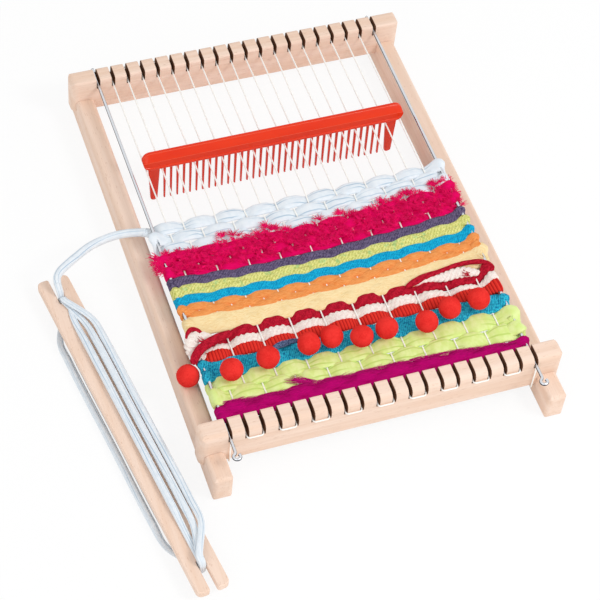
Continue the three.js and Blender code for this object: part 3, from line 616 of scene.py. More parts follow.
def heather_yarn(name, light, dark, yarn, accent=None):
    """Soft yarn of several fine strands: slanting lines where the valleys between strands are painted a
    little darker as shade, and light and dark fibres mixed.
    """
    nodes = Nodes(name)
    along, turn = nodes.strand()
    drift = nodes.noise(240)
    twist = nodes.scaled(drift, 0.14, nodes.spiral(along, turn, yarn.run))
    strands = nodes.waves(twist, yarn.lines)
    lanes = nodes.vector(nodes.part(along, 0.8), nodes.part(twist, 26), nodes.tone())
    fibres = nodes.noise(1.6, lanes, detail=4)
    specks = nodes.noise(760, detail=4, roughness=0.65)
    # the strands' valleys lean to the dark colour as painted shade, on top of the fibres' own mix
    height = nodes.scaled(strands, 0.07, fibres)
    base = nodes.between(height, 0.3, 0.66, dark, light)
    if accent:
        patches = nodes.noise(2.6, nodes.vector(nodes.part(along, 0.09), turn, nodes.tone()))
        base = nodes.tinted(base, patches, 0.54, 0.7, 0.6, accent)
    darker = nodes.tinted(base, specks, 0.48, 0.36, 0.7, dark)
    speckled = nodes.tinted(darker, specks, 0.52, 0.62, 0.75, light)
    nodes.set(Base_Color=speckled, Roughness=0.95, Specular_IOR_Level=0.1)
    nodes.bump(nodes.scaled(specks, 0.5, height), 0.35, 0.6)
    return nodes.owner


def roving(name, light, dark):
    """Unspun wool: soft fibres that run along the strand and drift a little."""
    nodes = Nodes(name)
    along, turn = nodes.strand()
    drift = nodes.noise(1.4, nodes.vector(nodes.part(along, 0.12), turn, nodes.tone()))
    lane = nodes.scaled(turn, 40.0, nodes.part(drift, 9.0))
    lanes = nodes.vector(nodes.part(along, 0.3), lane, nodes.tone())
    fibres = nodes.noise(1, lanes, detail=5, roughness=0.7)
    clouds = nodes.noise(140)
    streaked = nodes.between(fibres, 0.3, 0.7, dark, light)
    base = nodes.tinted(streaked, clouds, 0.4, 0.7, 0.25, light)
    nodes.set(Base_Color=base, Roughness=0.95, Specular_IOR_Level=0.1)
    nodes.bump(fibres, 0.5, 0.7)
    return nodes.owner


def ribbed_braid(name, light, dark, rib):
    """Braid whose ribs run across it, with painted shade in the dark line between them."""
    nodes = Nodes(name)
    along, turn = nodes.strand()
    ribs = nodes.waves(nodes.part(along, 1 / rib), 1)
    fibres = nodes.noise(1.2, nodes.vector(along, nodes.part(turn, 30)), detail=3)
    height = nodes.scaled(fibres, 0.8, ribs)
    # painted shade: the dark colour where the ribs dip
    nodes.set(Base_Color=nodes.between(height, -0.75, 0.35, dark, light))
    nodes.set(Roughness=0.9, Specular_IOR_Level=0.15)
    nodes.bump(height, 0.3, 0.7)
    return nodes.owner


def folded_tape(name, light, dark, crease_shade):
    """Jersey tape that has curled up: fine knit columns along it, with painted shade in its creases."""
    nodes = Nodes(name)
    along, turn = nodes.strand()
    columns = nodes.waves(turn, 26)
    soft = nodes.noise(3, nodes.vector(nodes.part(along, 0.09), nodes.part(turn, 2)))
    body = nodes.between(soft, 0.3, 0.7, light, dark)
    # painted shade: the crease colour where the tone marks a fold
    nodes.set(Base_Color=nodes.mix(nodes.ramp(nodes.tone(), 0.15, 0.95), body, linear(crease_shade)))
    nodes.set(Roughness=0.9, Specular_IOR_Level=0.15)
    nodes.bump(nodes.scaled(columns, 0.2, soft), 0.15, 0.35)
    return nodes.owner


PAINTED_GLOW = 0.08  # painted glow: the strands give off a little light of their own, which lifts the shade they cast on each other


def loose_fibres(name, light, dark):
    """Single strands: each has its own shade between the two colours, and all have a faint painted glow.
    """
    nodes = Nodes(name)
    fuzz = nodes.noise(1800)
    shade = nodes.scaled(nodes.math("SUBTRACT", fuzz, 0.5), 0.6, nodes.tone())
    # painted glow, though the strands are no lamp
    nodes.set(Emission_Color=linear(light), Emission_Strength=PAINTED_GLOW)
    nodes.set(Base_Color=nodes.mix(shade, linear(dark), linear(light)))
    nodes.set(Roughness=0.8, Specular_IOR_Level=0.2)
    nodes.bump(fuzz, 0.05, 0.4)
    return nodes.owner


def felt(name, light, dark):
    """Matted wool felt."""
    nodes = Nodes(name)
    fibres = nodes.noise(1100, detail=4, roughness=0.7)
    clouds = nodes.noise(160)
    mixed = nodes.part(nodes.math("ADD", fibres, clouds), 0.5)
    nodes.set(Base_Color=nodes.between(mixed, 0.35, 0.62, dark, light))
    nodes.set(Roughness=1.0, Specular_IOR_Level=0.05)
    nodes.bump(fibres, 0.2, 0.5)
    return nodes.owner


# Frame of the loom: CAD nodes that stay

EDGE = 0.3
SLOT_HALF_WIDTH = 2.0
SKIN = 0.3  # a slot's faces have their middles deeper in the bar than this
SOLE = 1.0  # and this far above its underside


def dress(node, material, edge=0.0):
    """A CAD node that stays: its own material and, with edge, softly broken edges."""
    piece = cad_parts[node]
    for slot in piece.material_slots:
        slot.link = "OBJECT"
        slot.material = material
    piece.data.shade_smooth()
    if edge:
        flatten = piece.modifiers.new("flat faces", "DECIMATE")
        flatten.decimate_type = "DISSOLVE"
        flatten.angle_limit = math.radians(1)
        soften = piece.modifiers.new("soft edges", "BEVEL")
        soften.width = edge * MM
        soften.segments = 2
        soften.limit_method = "ANGLE"
        soften.angle_limit = math.radians(30)
        soften.harden_normals = True


def darken_slots(node, material):
    """Gives the walls and floors of a bar's saw slots their own material, darker partly as painted shade.
    """
    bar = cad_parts[node]
    bar.data.materials.append(material)
    bar.material_slots[-1].link = "OBJECT"
    bar.material_slots[-1].material = material
    low, high = cad_box(node)
    for face in bar.data.polygons:
        x, y, z = from_frame(bar.matrix_world @ face.center)
        off = min(abs(x - slot_x(k)) for k in range(SLOT_COUNT))
        inside = low[1] + SKIN < y < high[1] - SKIN and low[2] + SOLE < z < high[2] - SKIN
        if off < SLOT_HALF_WIDTH and inside:
            face.material_index = len(bar.material_slots) - 1


def dress_frame(wood_x, wood_y, cut_and_shade, screw_steel):
    for node in ("left_rail", "right_rail"):
        dress(node, wood_y, EDGE)
    for node in ("front_bar", "back_bar"):
        dress(node, wood_x, EDGE)
        # the slots' faces get the saw-cut colour with painted shade
        darken_slots(node, cut_and_shade)
    for node in ("screw_front_left", "screw_front_right", "screw_back_left", "screw_back_right"):
        dress(node, screw_steel)


# Warp


def tooth_places():
    return [(i - (TOOTH_COUNT - 1) / 2) * TOOTH_PITCH for i in range(TOOTH_COUNT)]


def comb_lane(x):
    """Where a thread passes the comb: straight on, or moved into the next gap."""
    room = THREAD / 2 + CLEAR
    teeth = [(x_tooth, TOOTH_WIDTH) for x_tooth in tooth_places()]
    teeth = [(-POST_REACH, POST_WIDTH), *teeth, (POST_REACH, POST_WIDTH)]
    lanes = []
    for i in range(len(teeth) + 1):
        low = -math.inf if i == 0 else teeth[i - 1][0] + teeth[i - 1][1] / 2 + room
        high = math.inf if i == len(teeth) else teeth[i][0] - teeth[i][1] / 2 - room
        lanes.append((low + high) / 2 if low > high else min(max(x, low), high))
    return min(lanes, key=lambda lane: abs(lane - x))


def warp_run(k):
    x, lane = slot_x(k), comb_lane(slot_x(k))
    return [
        np.array([x, LANE_START, WARP_Z]),
        np.array([lane, LANE_FROM, WARP_Z]),
        np.array([lane, COMB_PLACE + SPINE_DEPTH, WARP_Z]),
        np.array([x, BACK_BAR, WARP_Z]),
    ]


def warp_loop(k, face, outward):
    """The thread's turn round the tooth after slot k, on the outside of a bar."""
    y = face + outward * (LOOP_STAND_OFF - LOOP_BEND)
    out = (0, outward, 0)
    near = (slot_x(k) + LOOP_BEND, y, WARP_Z)
    far = (slot_x(k + 1) - LOOP_BEND, y, WARP_Z)
    turn = quarter_turn(near, (-1, 0, 0), out, LOOP_BEND)
    return turn + quarter_turn(far, out, (1, 0, 0), LOOP_BEND)


def warp_end(k):
    """A thread end: up the front bar's inner face, under the bar and up its front face."""
    x, bend = slot_x(k), LOOP_STAND_OFF
    inner, under, front = BAR_THICK + LOOP_STAND_OFF, BAR_SEAT - LOOP_STAND_OFF, -LOOP_STAND_OFF
    return [
        np.array([x, inner, under + THREAD_TAIL]),
        *quarter_turn((x, inner - bend, under + bend), (0, 1, 0), (0, 0, -1), bend),
        *quarter_turn((x, front + bend, under + bend), (0, 0, -1), (0, -1, 0), bend),
        *quarter_turn((x, front + bend, WARP_Z - bend), (0, -1, 0), (0, 0, 1), bend),
    ]


def make_warp(material):
    route = warp_end(0)
    for k in range(SLOT_COUNT):
        forward = k % 2 == 0
        run = warp_run(k)
        route += run if forward else run[::-1]
        if k < SLOT_COUNT - 1:
            route += warp_loop(k, BACK_FACE, 1) if forward else warp_loop(k, 0, -1)
    route += warp_end(SLOT_COUNT - 1)[::-1]
    shape = Shape()
    round_tube(shape, np.array(route), THREAD / 2, 10, start=(1, 0, 0))
    shape.build("warp_thread", material, "loom", ["warp"])


# Edge rods


def make_rod(side, body, node, material):
    """Straight wire with an eye bent at its near end, to pull it out by."""
    x = side * OUTER_SLOT
    reach = EYE_LOOP + EYE_BEND
    bend_y = math.sqrt(reach**2 - EYE_BEND**2)
    bend = math.asin(bend_y / reach)
    route = [(x, BACK_FACE + ROD_TAIL, ROD_Z), (x, BACK_FACE + ROD_TAIL - 1, ROD_Z)]
    for turn in np.linspace(0, bend, 9)[:-1]:
        dx = EYE_BEND * (math.cos(turn) - 1)
        route.append((x + dx, bend_y - EYE_REACH - EYE_BEND * math.sin(turn), ROD_Z))
    for turn in np.linspace(math.pi - bend, 2 * math.pi + EYE_END_ANGLE, 32):
        route.append((x + EYE_LOOP * math.cos(turn), EYE_LOOP * math.sin(turn) - EYE_REACH, ROD_Z))
    shape = Shape()
    round_tube(shape, np.array(route), ROD / 2, 16)
    shape.build(node + "_wire", material, body, [node])


# Comb

SPINE_ROUNDS = (0.5, 0.7, 0.7, 0.9, 1.0, 0.35, 0.3)  # from the lower front corner round the back
CORNER_STEPS = 5
# corners of the spine's section that get a painted highlight
PAINTED_HIGHLIGHT_CORNERS = (3, 4, 6)  # top edge, ridge and lip


def comb_to_weave(points):
    """Points in the comb's own frame, which leans with its tips to the weaver."""
    x, y, z = np.moveaxis(np.asarray(points, float), -1, 0)
    cos, sin = math.cos(COMB_TILT), math.sin(COMB_TILT)
    return np.stack([x, COMB_PLACE + y * cos - z * sin, COMB_HEIGHT + y * sin + z * cos], axis=-1)


def comb_spine(shape):
    half_depth = SPINE_DEPTH / 2
    face = SPINE_FACE_SET_BACK - half_depth
    corners = [
        (-half_depth, 0),
        (half_depth, 0),
        (half_depth, SPINE_HEIGHT),
        (half_depth - SPINE_CREST_WIDTH, SPINE_HEIGHT),
        (face, SPINE_RIDGE),
        (face, SPINE_LIP + 0.5),
        (-half_depth, SPINE_LIP),
    ]
    outline = rounded_outline(corners, SPINE_ROUNDS, CORNER_STEPS)
    middle = SPINE_HEIGHT / 2
    straight = SPINE_LENGTH / 2 - middle
    ends = [straight + middle * math.sin(turn) for turn in np.linspace(0, math.pi / 2, 9)]
    between = list(np.linspace(-straight, straight, 30))[1:-1]
    rings = []
    for x in [-end for end in reversed(ends)] + between + ends:
        past = max(0.0, (abs(x) - straight) / middle)
        height = 0.03 + 0.97 * math.sqrt(max(0.0, 1 - past**2))
        depth = 1 - 0.25 * past**3
        ring = [(x, y * depth, middle + (z - middle) * height) for y, z in outline]
        rings.append(comb_to_weave(ring))
    # tone 1 at the middle of each of these corners, where the plastic paints its highlight
    painted_highlight = np.zeros(len(outline))
    for corner in PAINTED_HIGHLIGHT_CORNERS:
        painted_highlight[corner * CORNER_STEPS + CORNER_STEPS // 2] = 1
    loft(shape, rings, tone=np.tile(painted_highlight, len(rings)))


def comb_tooth(shape, x, width, tip_width, depth):
    """A tapering tooth with rounded edges and a rounded tip."""
    tip = tip_width / 2
    levels = [(TOOTH_ROOT, 1.0, 1.0), (-SPINE_LIP, 1.0, 1.0)]
    for turn in np.linspace(0, 1.35, 5):
        z = tip * (1 - math.sin(turn)) - TOOTH_LENGTH
        share = tip_width / width * math.cos(turn) ** 0.8
        levels.append((z, share, 1 - 0.45 * math.sin(turn) ** 2))
    rings = []
    for z, share, deep in levels:
        half, back = width / 2 * share, depth / 2 * deep
        radius = min(min(width, depth) * 0.3, half * 0.9, back * 0.9)
        corners = [(-half, -back), (half, -back), (half, back), (-half, back)]
        ring = rounded_outline(corners, [radius] * 4, 3)
        rings.append(comb_to_weave([(x + u, v, z) for u, v in ring[::-1]]))
    loft(shape, rings)


def make_comb(material):
    shape = Shape()
    comb_spine(shape)
    for x in tooth_places():
        comb_tooth(shape, x, TOOTH_WIDTH, TOOTH_TIP_WIDTH, TOOTH_DEPTH)
    for x in (-POST_REACH, POST_REACH):
        comb_tooth(shape, x, POST_WIDTH, POST_TIP_WIDTH, POST_DEPTH)
    shape.build("comb_moulding", material, "comb_body", ["comb"])


# Weaving


@dataclass
class Yarn:
    """How a yarn lies in the weaving. Widths and thicknesses are half sizes."""

    crest: float  # width where it passes over a thread
    dip: float  # and where it passes under one
    thick: float = 1.4
    up: float = 0.9  # its middle above the warp's, over a thread
    down: float = 1.7  # and below it, under one
    square: float = 2.6  # 2 makes its section an ellipse, more makes it boxier
    lines: int = 0  # ridges of its strands round the section
    run: float = 12.0  # along the yarn for one turn of them
    ridge: float = 0.05
    ribs: float = 0.0  # distance between ribs that run across it
    folds: tuple = ()  # angles of its lengthwise folds, from 0 at one side over 90 on top
    fold_depth: float = 0.1
    uneven: float = 0.04
    over_rod: float = 1.35  # how much wider it lies where it goes over an edge rod
    sides: int = 16


# Where the rows run: at each distance from the front bar, how far a row climbs to the
# right and how far it bows
ROW_PLACES = (13, 24, 44, 56, 64, 76, 87, 98, 118, 143, 163)
ROW_CLIMBS = (0, -2, 1, 0.5, 0.5, 1, 1.5, 1.3, 2, 3, 1)
ROW_BOWS = (0, -1.5, 1, 0.5, 0.5, 3, 5, 3.5, 5.5, 4, 1.5)


def row_line(y, x):
    share = np.asarray(x, float) / OUTER_SLOT
    climb = np.interp(y, ROW_PLACES, ROW_CLIMBS)
    bow = np.interp(y, ROW_PLACES, ROW_BOWS)
    return y + climb * share + bow * (share**2 - 1 / 3)


STEP = 0.8
ROW_PAST_ROD = 0.85
ROW_DRIFT = (14, 0.25)  # between changes, and to either side
FLOAT_BREADTH = 2.2  # more makes a row lie flatter between its dips
TURN_POINTS = 9
EDGE_REACH = 0.15
EDGE_SQUEEZE = 0.7
TAIL = ((1, 0.12), (1.5, 0.45), (1, 0.8), (0, 1), (-4, 1))  # past the rod, share of the drop
TAIL_DEPTH = 4.2  # below the warp
TAIL_SQUEEZE = 0.75
SOFT_REACH = 3.0  # in from the rods
SOFTEN = np.array([1, 2, 3, 2, 1]) / 9


def row_points(line, yarn, over_even, rng):
    """One row from left to right, over one warp thread and under the next. With it comes
    how far each point lies over: 1 on a thread, 0 under one. line gives y for each x."""
    reach = OUTER_SLOT + ROW_PAST_ROD
    x = np.linspace(-reach, reach, round(2 * reach / STEP) + 1)
    phase = np.cos(math.pi * (x + OUTER_SLOT) / SLOT_PITCH) * (1 if over_even else -1)
    over = 1 - ((1 - phase) / 2) ** FLOAT_BREADTH
    past_rod = np.clip(1 - (OUTER_SLOT - np.abs(x)) / SLOT_PITCH, 0, 1) ** 2 * np.clip(phase, 0, 1)
    z = WARP_Z - yarn.down + (yarn.up + yarn.down) * over + ROD * past_rod
    y = line(x) + wander(rng, x + OUTER_SLOT, *ROW_DRIFT)
    return np.stack([x, y, z], axis=1), over


def edge_turn(start, end, side):
    """The way round an edge rod, from the end of one row to the start of the next."""
    turn = np.linspace(0, math.pi, TURN_POINTS)[1:-1]
    share = (1 - np.cos(turn)) / 2
    path = start + (end - start) * share[:, None]
    path[:, 0] = side * (OUTER_SLOT + ROW_PAST_ROD + EDGE_REACH * np.sin(turn))
    return path, 1 - EDGE_SQUEEZE * np.sin(turn)


def tail(end):
    """A row's end, tucked round the rod and back under the weaving."""
    side = math.copysign(1, end[0])
    fall = WARP_Z - TAIL_DEPTH - end[2]
    return np.array([(side * (OUTER_SLOT + out), end[1], end[2] + fall * drop) for out, drop in TAIL])


def softened(values):
    """A running average, which rounds off corners and steps along a path."""
    reach = len(SOFTEN) // 2
    padded = np.pad(values, [(reach, reach)] + [(0, 0)] * (values.ndim - 1), mode="edge")
    return sum(weight * padded[i : i + len(values)] for i, weight in enumerate(SOFTEN))


def woven(lines, yarn, seed, over_even=True, from_left=True, ending=None):
    """Rows joined round the edge rods: the path, how far over it lies and its squeeze. The
    last row's end is tucked in, or follows the points of ending."""
    rng = np.random.default_rng(seed)
    path, over, squeeze = [], [], []
    for i, line in enumerate(lines):
        even = i % 2 == 0
        row, high = row_points(line, yarn, over_even == even, rng)
        forward = from_left == even
        if not forward:
            row, high = row[::-1], high[::-1]
        if path:
            turn, narrow = edge_turn(path[-1][-1], row[0], -1 if forward else 1)
            path.append(turn)
            over.append(np.linspace(over[-1][-1], high[0], len(turn)))
            squeeze.append(narrow)
        path.append(row)
        over.append(high)
        squeeze.append(np.ones(len(row)))
    start = tail(path[0][0])[::-1]
    end = tail(path[-1][-1]) if ending is None else ending
    over = [np.full(len(start), over[0][0]), *over, np.full(len(end), over[-1][-1])]
    squeeze = [np.full(len(start), TAIL_SQUEEZE), *squeeze, np.full(len(end), TAIL_SQUEEZE)]
    path = np.vstack([start, *path, end])
    at_rod = np.abs(path[:, 0]) > OUTER_SLOT - SOFT_REACH
    at_rod[: len(start) + 1] = False
    at_rod[-len(end) - 1 :] = False
    path[at_rod] = softened(path)[at_rod]
    return path, np.concatenate(over), softened(softened(np.concatenate(squeeze)))


EDGE_SPREAD = 5.0  # how far in from the rods a strand widens and its folds fade
UNEVEN_RUN = 9.0
TWIST_DRIFT = (5, 0.02)  # between changes, and in turns
RIDGE_DRIFT = (4, 0.35)


@dataclass
class Folding:
    """How the lengthwise folds of a tape wander round it and come and go."""

    run: float  # along the strand, between changes
    drift: float  # in radians
    depth: float
    vary: float
    least: float
    width: float  # in radians


WOVEN_TAPE = Folding(run=10, drift=0.16, depth=0.6, vary=0.5, least=0, width=0.12)
LOOSE_TAPE = Folding(run=22, drift=0.25, depth=0.75, vary=0.35, least=0.2, width=0.14)


def fold_depths(rng, along, angle, places, folding, fade=1.0):
    """How deep each point of a strand's section lies in its folds, from 0 to 1."""
    folds = np.zeros((len(along), len(angle)))
    for degrees in places:
        place = math.radians(degrees) + wander(rng, along, folding.run, folding.drift)
        depth = folding.depth + wander(rng, along, folding.run, folding.vary)
        depth = np.clip(depth, folding.least, 1) * fade
        away = (angle[None, :] - place[:, None] + math.pi) % (2 * math.pi) - math.pi
        folds = np.maximum(folds, depth[:, None] * np.exp(-((away / folding.width) ** 2)))
    return folds


def yarn_along(shape, path, over, squeeze, yarn, seed, facing=-1):
    """A strand along a path, with its own section, ridges, ribs and folds. The top of its
    section faces up at the start, or down where facing is -1, as in a tucked row end."""
    rng = np.random.default_rng(seed)
    along = lengths_along(path)
    drift = wander(rng, along, UNEVEN_RUN, yarn.uneven)
    near_rod = np.clip(1 - (OUTER_SLOT - np.abs(path[:, 0])) / EDGE_SPREAD, 0, 1) * over
    width = (yarn.dip + (yarn.crest - yarn.dip) * over) * squeeze * (1 + drift)
    width *= 1 + (yarn.over_rod - 1) * near_rod
    thick = yarn.thick * (0.85 + 0.15 * over) * (1 + 0.5 * drift)
    start = np.cross((0, 0, facing), directions(path)[0])
    across, rise = turning_frame(path, start, level=True)
    angle = angles_round(yarn.sides)
    cos, sin = np.abs(np.cos(angle)), np.abs(np.sin(angle))
    boxy = (cos**yarn.square + sin**yarn.square) ** (-1 / yarn.square)
    profile = np.repeat(boxy[None, :], len(path), axis=0)
    if yarn.lines:
        turns = along / yarn.run + wander(rng, along, *TWIST_DRIFT)
        spiral = turns[:, None] + angle[None, :] / (2 * math.pi)
        depth = yarn.ridge * (1 + wander(rng, along, *RIDGE_DRIFT))[:, None]
        profile *= 1 + depth * (2 * np.abs(np.cos(math.pi * yarn.lines * spiral)) - 1)
    if yarn.ribs:
        profile *= 1 + yarn.ridge * np.cos(2 * math.pi * along / yarn.ribs)[:, None]
    fade = np.clip((OUTER_SLOT - 2 - np.abs(path[:, 0])) / EDGE_SPREAD, 0.1, 1)
    folds = fold_depths(rng, along, angle, yarn.folds, WOVEN_TAPE, fade)
    profile -= yarn.fold_depth * folds
    # the fold depths also go in as tone, which a tape material paints as crease shade
    sweep(shape, path, across * width[:, None], rise * thick[:, None], yarn.sides, profile, folds)


def strand_through(shape, points, half_width, half_thick, yarn, seed):
    """A short strand laid through given points. half_width may have a value for each."""
    points = np.asarray(points, float)
    widths = np.broadcast_to(half_width, len(points))
    path = smooth_path(np.column_stack([points, widths]), 0.7)
    width = path[:, 3]
    path = path[:, :3]
    fitted = replace(yarn, crest=1.0, dip=1.0, thick=half_thick, over_rod=1.0)
    ends = np.ones(len(path))
    ends[[0, -1]] = 0.4
    ends[[1, -2]] = 0.8
    yarn_along(shape, path, np.ones(len(path)), width * ends, fitted, seed, facing=1)


def laid_line(points):
    """A value for each x, from pairs of both."""
    xs, values = zip(*points)
    return lambda x: np.interp(x, xs, values)


def make_rows(name, slot, material, yarn, lines, widths, seed, nodes=(), extras=(), **weave):
    """Rows that follow their lines, and the short strands that belong to them. widths tells
    how wide they lie along x, and weave how the rows begin and end."""
    shape = Shape()
    path, over, squeeze = woven(lines, yarn, seed, **weave)
    squeeze = squeeze * laid_line(widths)(path[:, 0])
    yarn_along(shape, path, over, squeeze, yarn, seed)
    for i, (route, half_width, half_thick) in enumerate(extras):
        strand_through(shape, route, half_width, half_thick, yarn, seed + 1 + i)
    shape.build(name, material, "loom", nodes)


EVEN = ((-96, 1), (96, 1))


def make_band(node, slot, material, yarn, rows, widths=EVEN, **options):
    """A band of rows in place of its CAD solid. rows tells where they lie, or how many of
    them lie evenly over the solid."""
    if isinstance(rows, int):
        low, high = cad_box(node)
        rows = low[1] + (high[1] - low[1]) / rows * (np.arange(rows) + 0.5)
    lines = [lambda x, y=y: row_line(y, x) for y in rows]
    seed = sum(map(ord, node))
    make_rows(node + "_yarn", slot, material, yarn, lines, widths, seed, [node], **options)


MAGENTA = Yarn(crest=4.4, dip=4.0, thick=1.6, up=0.9, down=0.35, uneven=0.06)
GREEN = Yarn(
    crest=5.4, dip=4.7, thick=1.6, up=0.8, down=1.7,
    folds=(56, 104), fold_depth=0.04, over_rod=1.15, sides=72,
)
TEAL = Yarn(crest=2.95, dip=2.6, up=0.3, down=0.3, lines=7, run=10, ridge=0.03, over_rod=1.6)
YELLOW = Yarn(crest=4.5, dip=4.2, up=0.25, down=0.25, lines=7, run=70, ridge=0.02, over_rod=1.6)
ORANGE = Yarn(crest=2.95, dip=2.6, thick=1.3, up=0.45, down=0.8, lines=7, run=50, ridge=0.02, over_rod=1.5)
BLUE = Yarn(crest=2.4, dip=2.05, up=0.3, down=0.3, lines=7, run=12, ridge=0.03, over_rod=1.6)
OLIVE = Yarn(crest=2.7, dip=2.4, up=0.3, down=0.3, lines=6, run=13, ridge=0.03, over_rod=1.6)
PURPLE = Yarn(crest=2.35, dip=2.0, up=0.3, down=0.3, lines=6, run=11, ridge=0.03, over_rod=1.6)
PINK = Yarn(crest=3.7, dip=3.2, thick=1.5, up=0.7, down=1.8, uneven=0.08)
JERSEY = Yarn(
    crest=4.35, dip=3.9, thick=1.5, up=0.8, down=1.8,
    folds=(62, 116), fold_depth=0.06, over_rod=1.3, sides=72,
)

MAGENTA_WIDTHS = ((-96, 1), (40, 1), (62, 0.85), (96, 0.6))
GREEN_WIDTHS = ((-96, 1), (20, 1), (96, 1.2))
YELLOW_WIDTHS = ((-96, 1), (-84, 1.15), (-62, 1.15), (-48, 1), (96, 1))
MAGENTA_ROWS = (16, 20.4)
ORANGE_ROWS = (89, 92.4, 96)
PINK_ROWS = (3.6, 9.1, 14.1, 18.6)  # above the band's lower edge
JERSEY_PITCH = 7.9
JERSEY_EDGE = 4.4
INTO_FREE_YARN = ((-96.4, 159.3, 27.5), (-97.6, 159.9, 27.6), (-98.8, 160.5, 27.4), (-100, 161.1, 27))

# Short strands: their points, half widths and half thickness
GREEN_OVER_ROD = (
    ((87.5, 28.2, 29.6), (91.5, 28.4, 31.4), (95, 28.8, 32.6), (97.4, 29.4, 31.4), (98.4, 30.4, 28.6)),
    (3.4, 4.4, 4.4, 3.8, 2.6),
    1.3,
)


def make_bands(tape):
    magenta = roving("magenta_wool", (198, 2, 116), (158, 0, 92))
    # the third colour is painted shade for the creases
    green = folded_tape("green_wool", (228, 242, 166), (213, 234, 138), (194, 219, 116))
    teal = heather_yarn("teal_yarn", (56, 202, 228), (0, 88, 142), TEAL)
    yellow = roving("yellow_yarn", (255, 235, 188), (242, 207, 142))
    orange = roving("orange_yarn", (250, 174, 104), (228, 122, 52))
    blue = heather_yarn("blue_yarn", (30, 186, 224), (0, 124, 180), BLUE)
    olive = heather_yarn("olive_yarn", (236, 234, 152), (180, 182, 84), OLIVE, (128, 204, 140))
    purple = heather_yarn("purple_grey_yarn", (118, 106, 138), (54, 44, 74), PURPLE)
    pink = roving("pink_fringe_yarn", (240, 4, 104), (214, 0, 86))
    pink_rows = cad_box("weft_pink_fringe")[0][1] + np.array(PINK_ROWS)
    newest = cad_box("weft_light_blue")[1][1] - JERSEY_EDGE
    jersey_rows = [newest - JERSEY_PITCH * i for i in (2, 1, 0)]
    from_right = {"over_even": False, "from_left": False}

    make_band("weft_magenta_roving", "magenta_wool", magenta, MAGENTA, MAGENTA_ROWS, MAGENTA_WIDTHS)
    make_band("weft_green_roving", "green_wool", green, GREEN, 2, GREEN_WIDTHS, extras=(GREEN_OVER_ROD,))
    make_band("weft_teal", "teal_yarn", teal, TEAL, 3)
    make_band("weft_yellow", "yellow_yarn", yellow, YELLOW, 2, YELLOW_WIDTHS)
    make_band("weft_orange", "orange_yarn", orange, ORANGE, ORANGE_ROWS, **from_right)
    make_band("weft_blue", "blue_yarn", blue, BLUE, 2)
    make_band("weft_olive", "olive_yarn", olive, OLIVE, 2)
    make_band("weft_purple_grey", "purple_grey_yarn", purple, PURPLE, 2)
    make_band("weft_pink_fringe", "pink_fringe_yarn", pink, PINK, pink_rows)
    make_band(
        "weft_light_blue", "light_blue_yarn", tape, JERSEY, jersey_rows,
        ending=np.array(INTO_FREE_YARN), **from_right,
    )


# Braid and the two cords above it, which share one shed

BRAID = Yarn(crest=4.0, dip=3.8, thick=1.6, up=1.1, down=1.9, ribs=1.9, ridge=0.05, square=3, sides=20)
WHITE_CORD = Yarn(
    crest=3.6, dip=3.2, thick=1.6, up=1.1, down=1.9,
    lines=4, run=13.5, ridge=0.2, square=2.1, sides=28,
)
CRIMSON_CORD = Yarn(crest=4.0, dip=3.3, thick=1.5, up=1.2, down=1.9, lines=4, run=30, ridge=0.04, sides=20)

BRAID_LINE = ((-95, 59.5), (-88, 58.8), (-50, 58.9), (0, 59.2), (60, 59.6), (88, 60.8), (96, 61.4))
WHITE_LINE = (
    (-95, 61), (-83, 63.6), (-60, 65.7), (0, 65.9), (25, 66.4),
    (42, 67.6), (62, 65.4), (80, 65), (89, 66.3), (96, 69),
)
CRIMSON_LINE = (
    (-95, 61), (-90, 64.3), (-82, 67.6), (-70, 71), (-50, 72.6), (0, 72.3),
    (40, 73.6), (55, 73), (66, 71), (84, 70.4), (90, 73.6), (96, 77.6),
)
WHITE_WIDTHS = ((-96, 0.5), (-84, 0.55), (-70, 1), (45, 1), (62, 0.6), (84, 0.6), (96, 0.8))
CRIMSON_WIDTHS = ((-96, 0.75), (-80, 0.7), (-60, 1), (42, 1), (60, 0.75), (96, 0.75))


WHITE_LOOP = (
    (
        (-91, 60.5, 29.5), (-96, 60, 31), (-98, 64, 32.8), (-97, 70, 33.6),
        (-93.5, 73, 33.4), (-88, 71.5, 32.6), (-82, 68.5, 31.4),
    ),
    (1.6, 3.2, 3.9, 3.9, 3.7, 3.1, 1.8),
    1.5,
)
WHITE_RETURN = (
    (
        (46, 76, 30.5), (55, 76.6, 31.4), (64, 76.2, 31.6),
        (73, 76.8, 31.8), (81, 75.8, 31.8), (88, 74, 31),
    ),
    (0.8, 1.6, 2.6, 3.4, 3.2, 1.8),
    1.4,
)
CRIMSON_BENEATH = (
    ((40, 74, 28.8), (55, 74.4, 28.9), (70, 73.4, 28.9), (84, 73, 28.8), (93, 74.5, 28.6)),
    (2, 3, 3.2, 3, 2),
    1.2,
)
CRIMSON_ARC = (
    (
        (-97.5, 66, 31), (-99, 71, 33), (-97.8, 75.6, 34.2),
        (-94.6, 77.8, 34.6), (-91.2, 76, 33.8), (-89.4, 71.5, 32.4),
    ),
    1.3,
    1.2,
)
CRIMSON_CROSSING = (
    (
        (-72, 70.6, 32.4), (-80, 68.4, 34), (-88, 65.2, 35.2),
        (-94, 61.8, 35.9), (-98, 58.2, 35.4), (-101, 54.5, 33),
    ),
    (2.2, 2.7, 2.9, 2.8, 2.6, 2),
    1.5,
)
CRIMSON_RETURN = (
    (
        (40, 75.2, 31), (46, 77, 32), (54, 79, 32.4), (64, 80.3, 32.4),
        (73, 81.8, 32.4), (82, 82.2, 32.6), (91, 80.2, 33.4), (96, 77.4, 33),
    ),
    (1.2, 2.2, 2.2, 1.5, 1.4, 1.4, 1.5, 1.3),
    1.3,
)


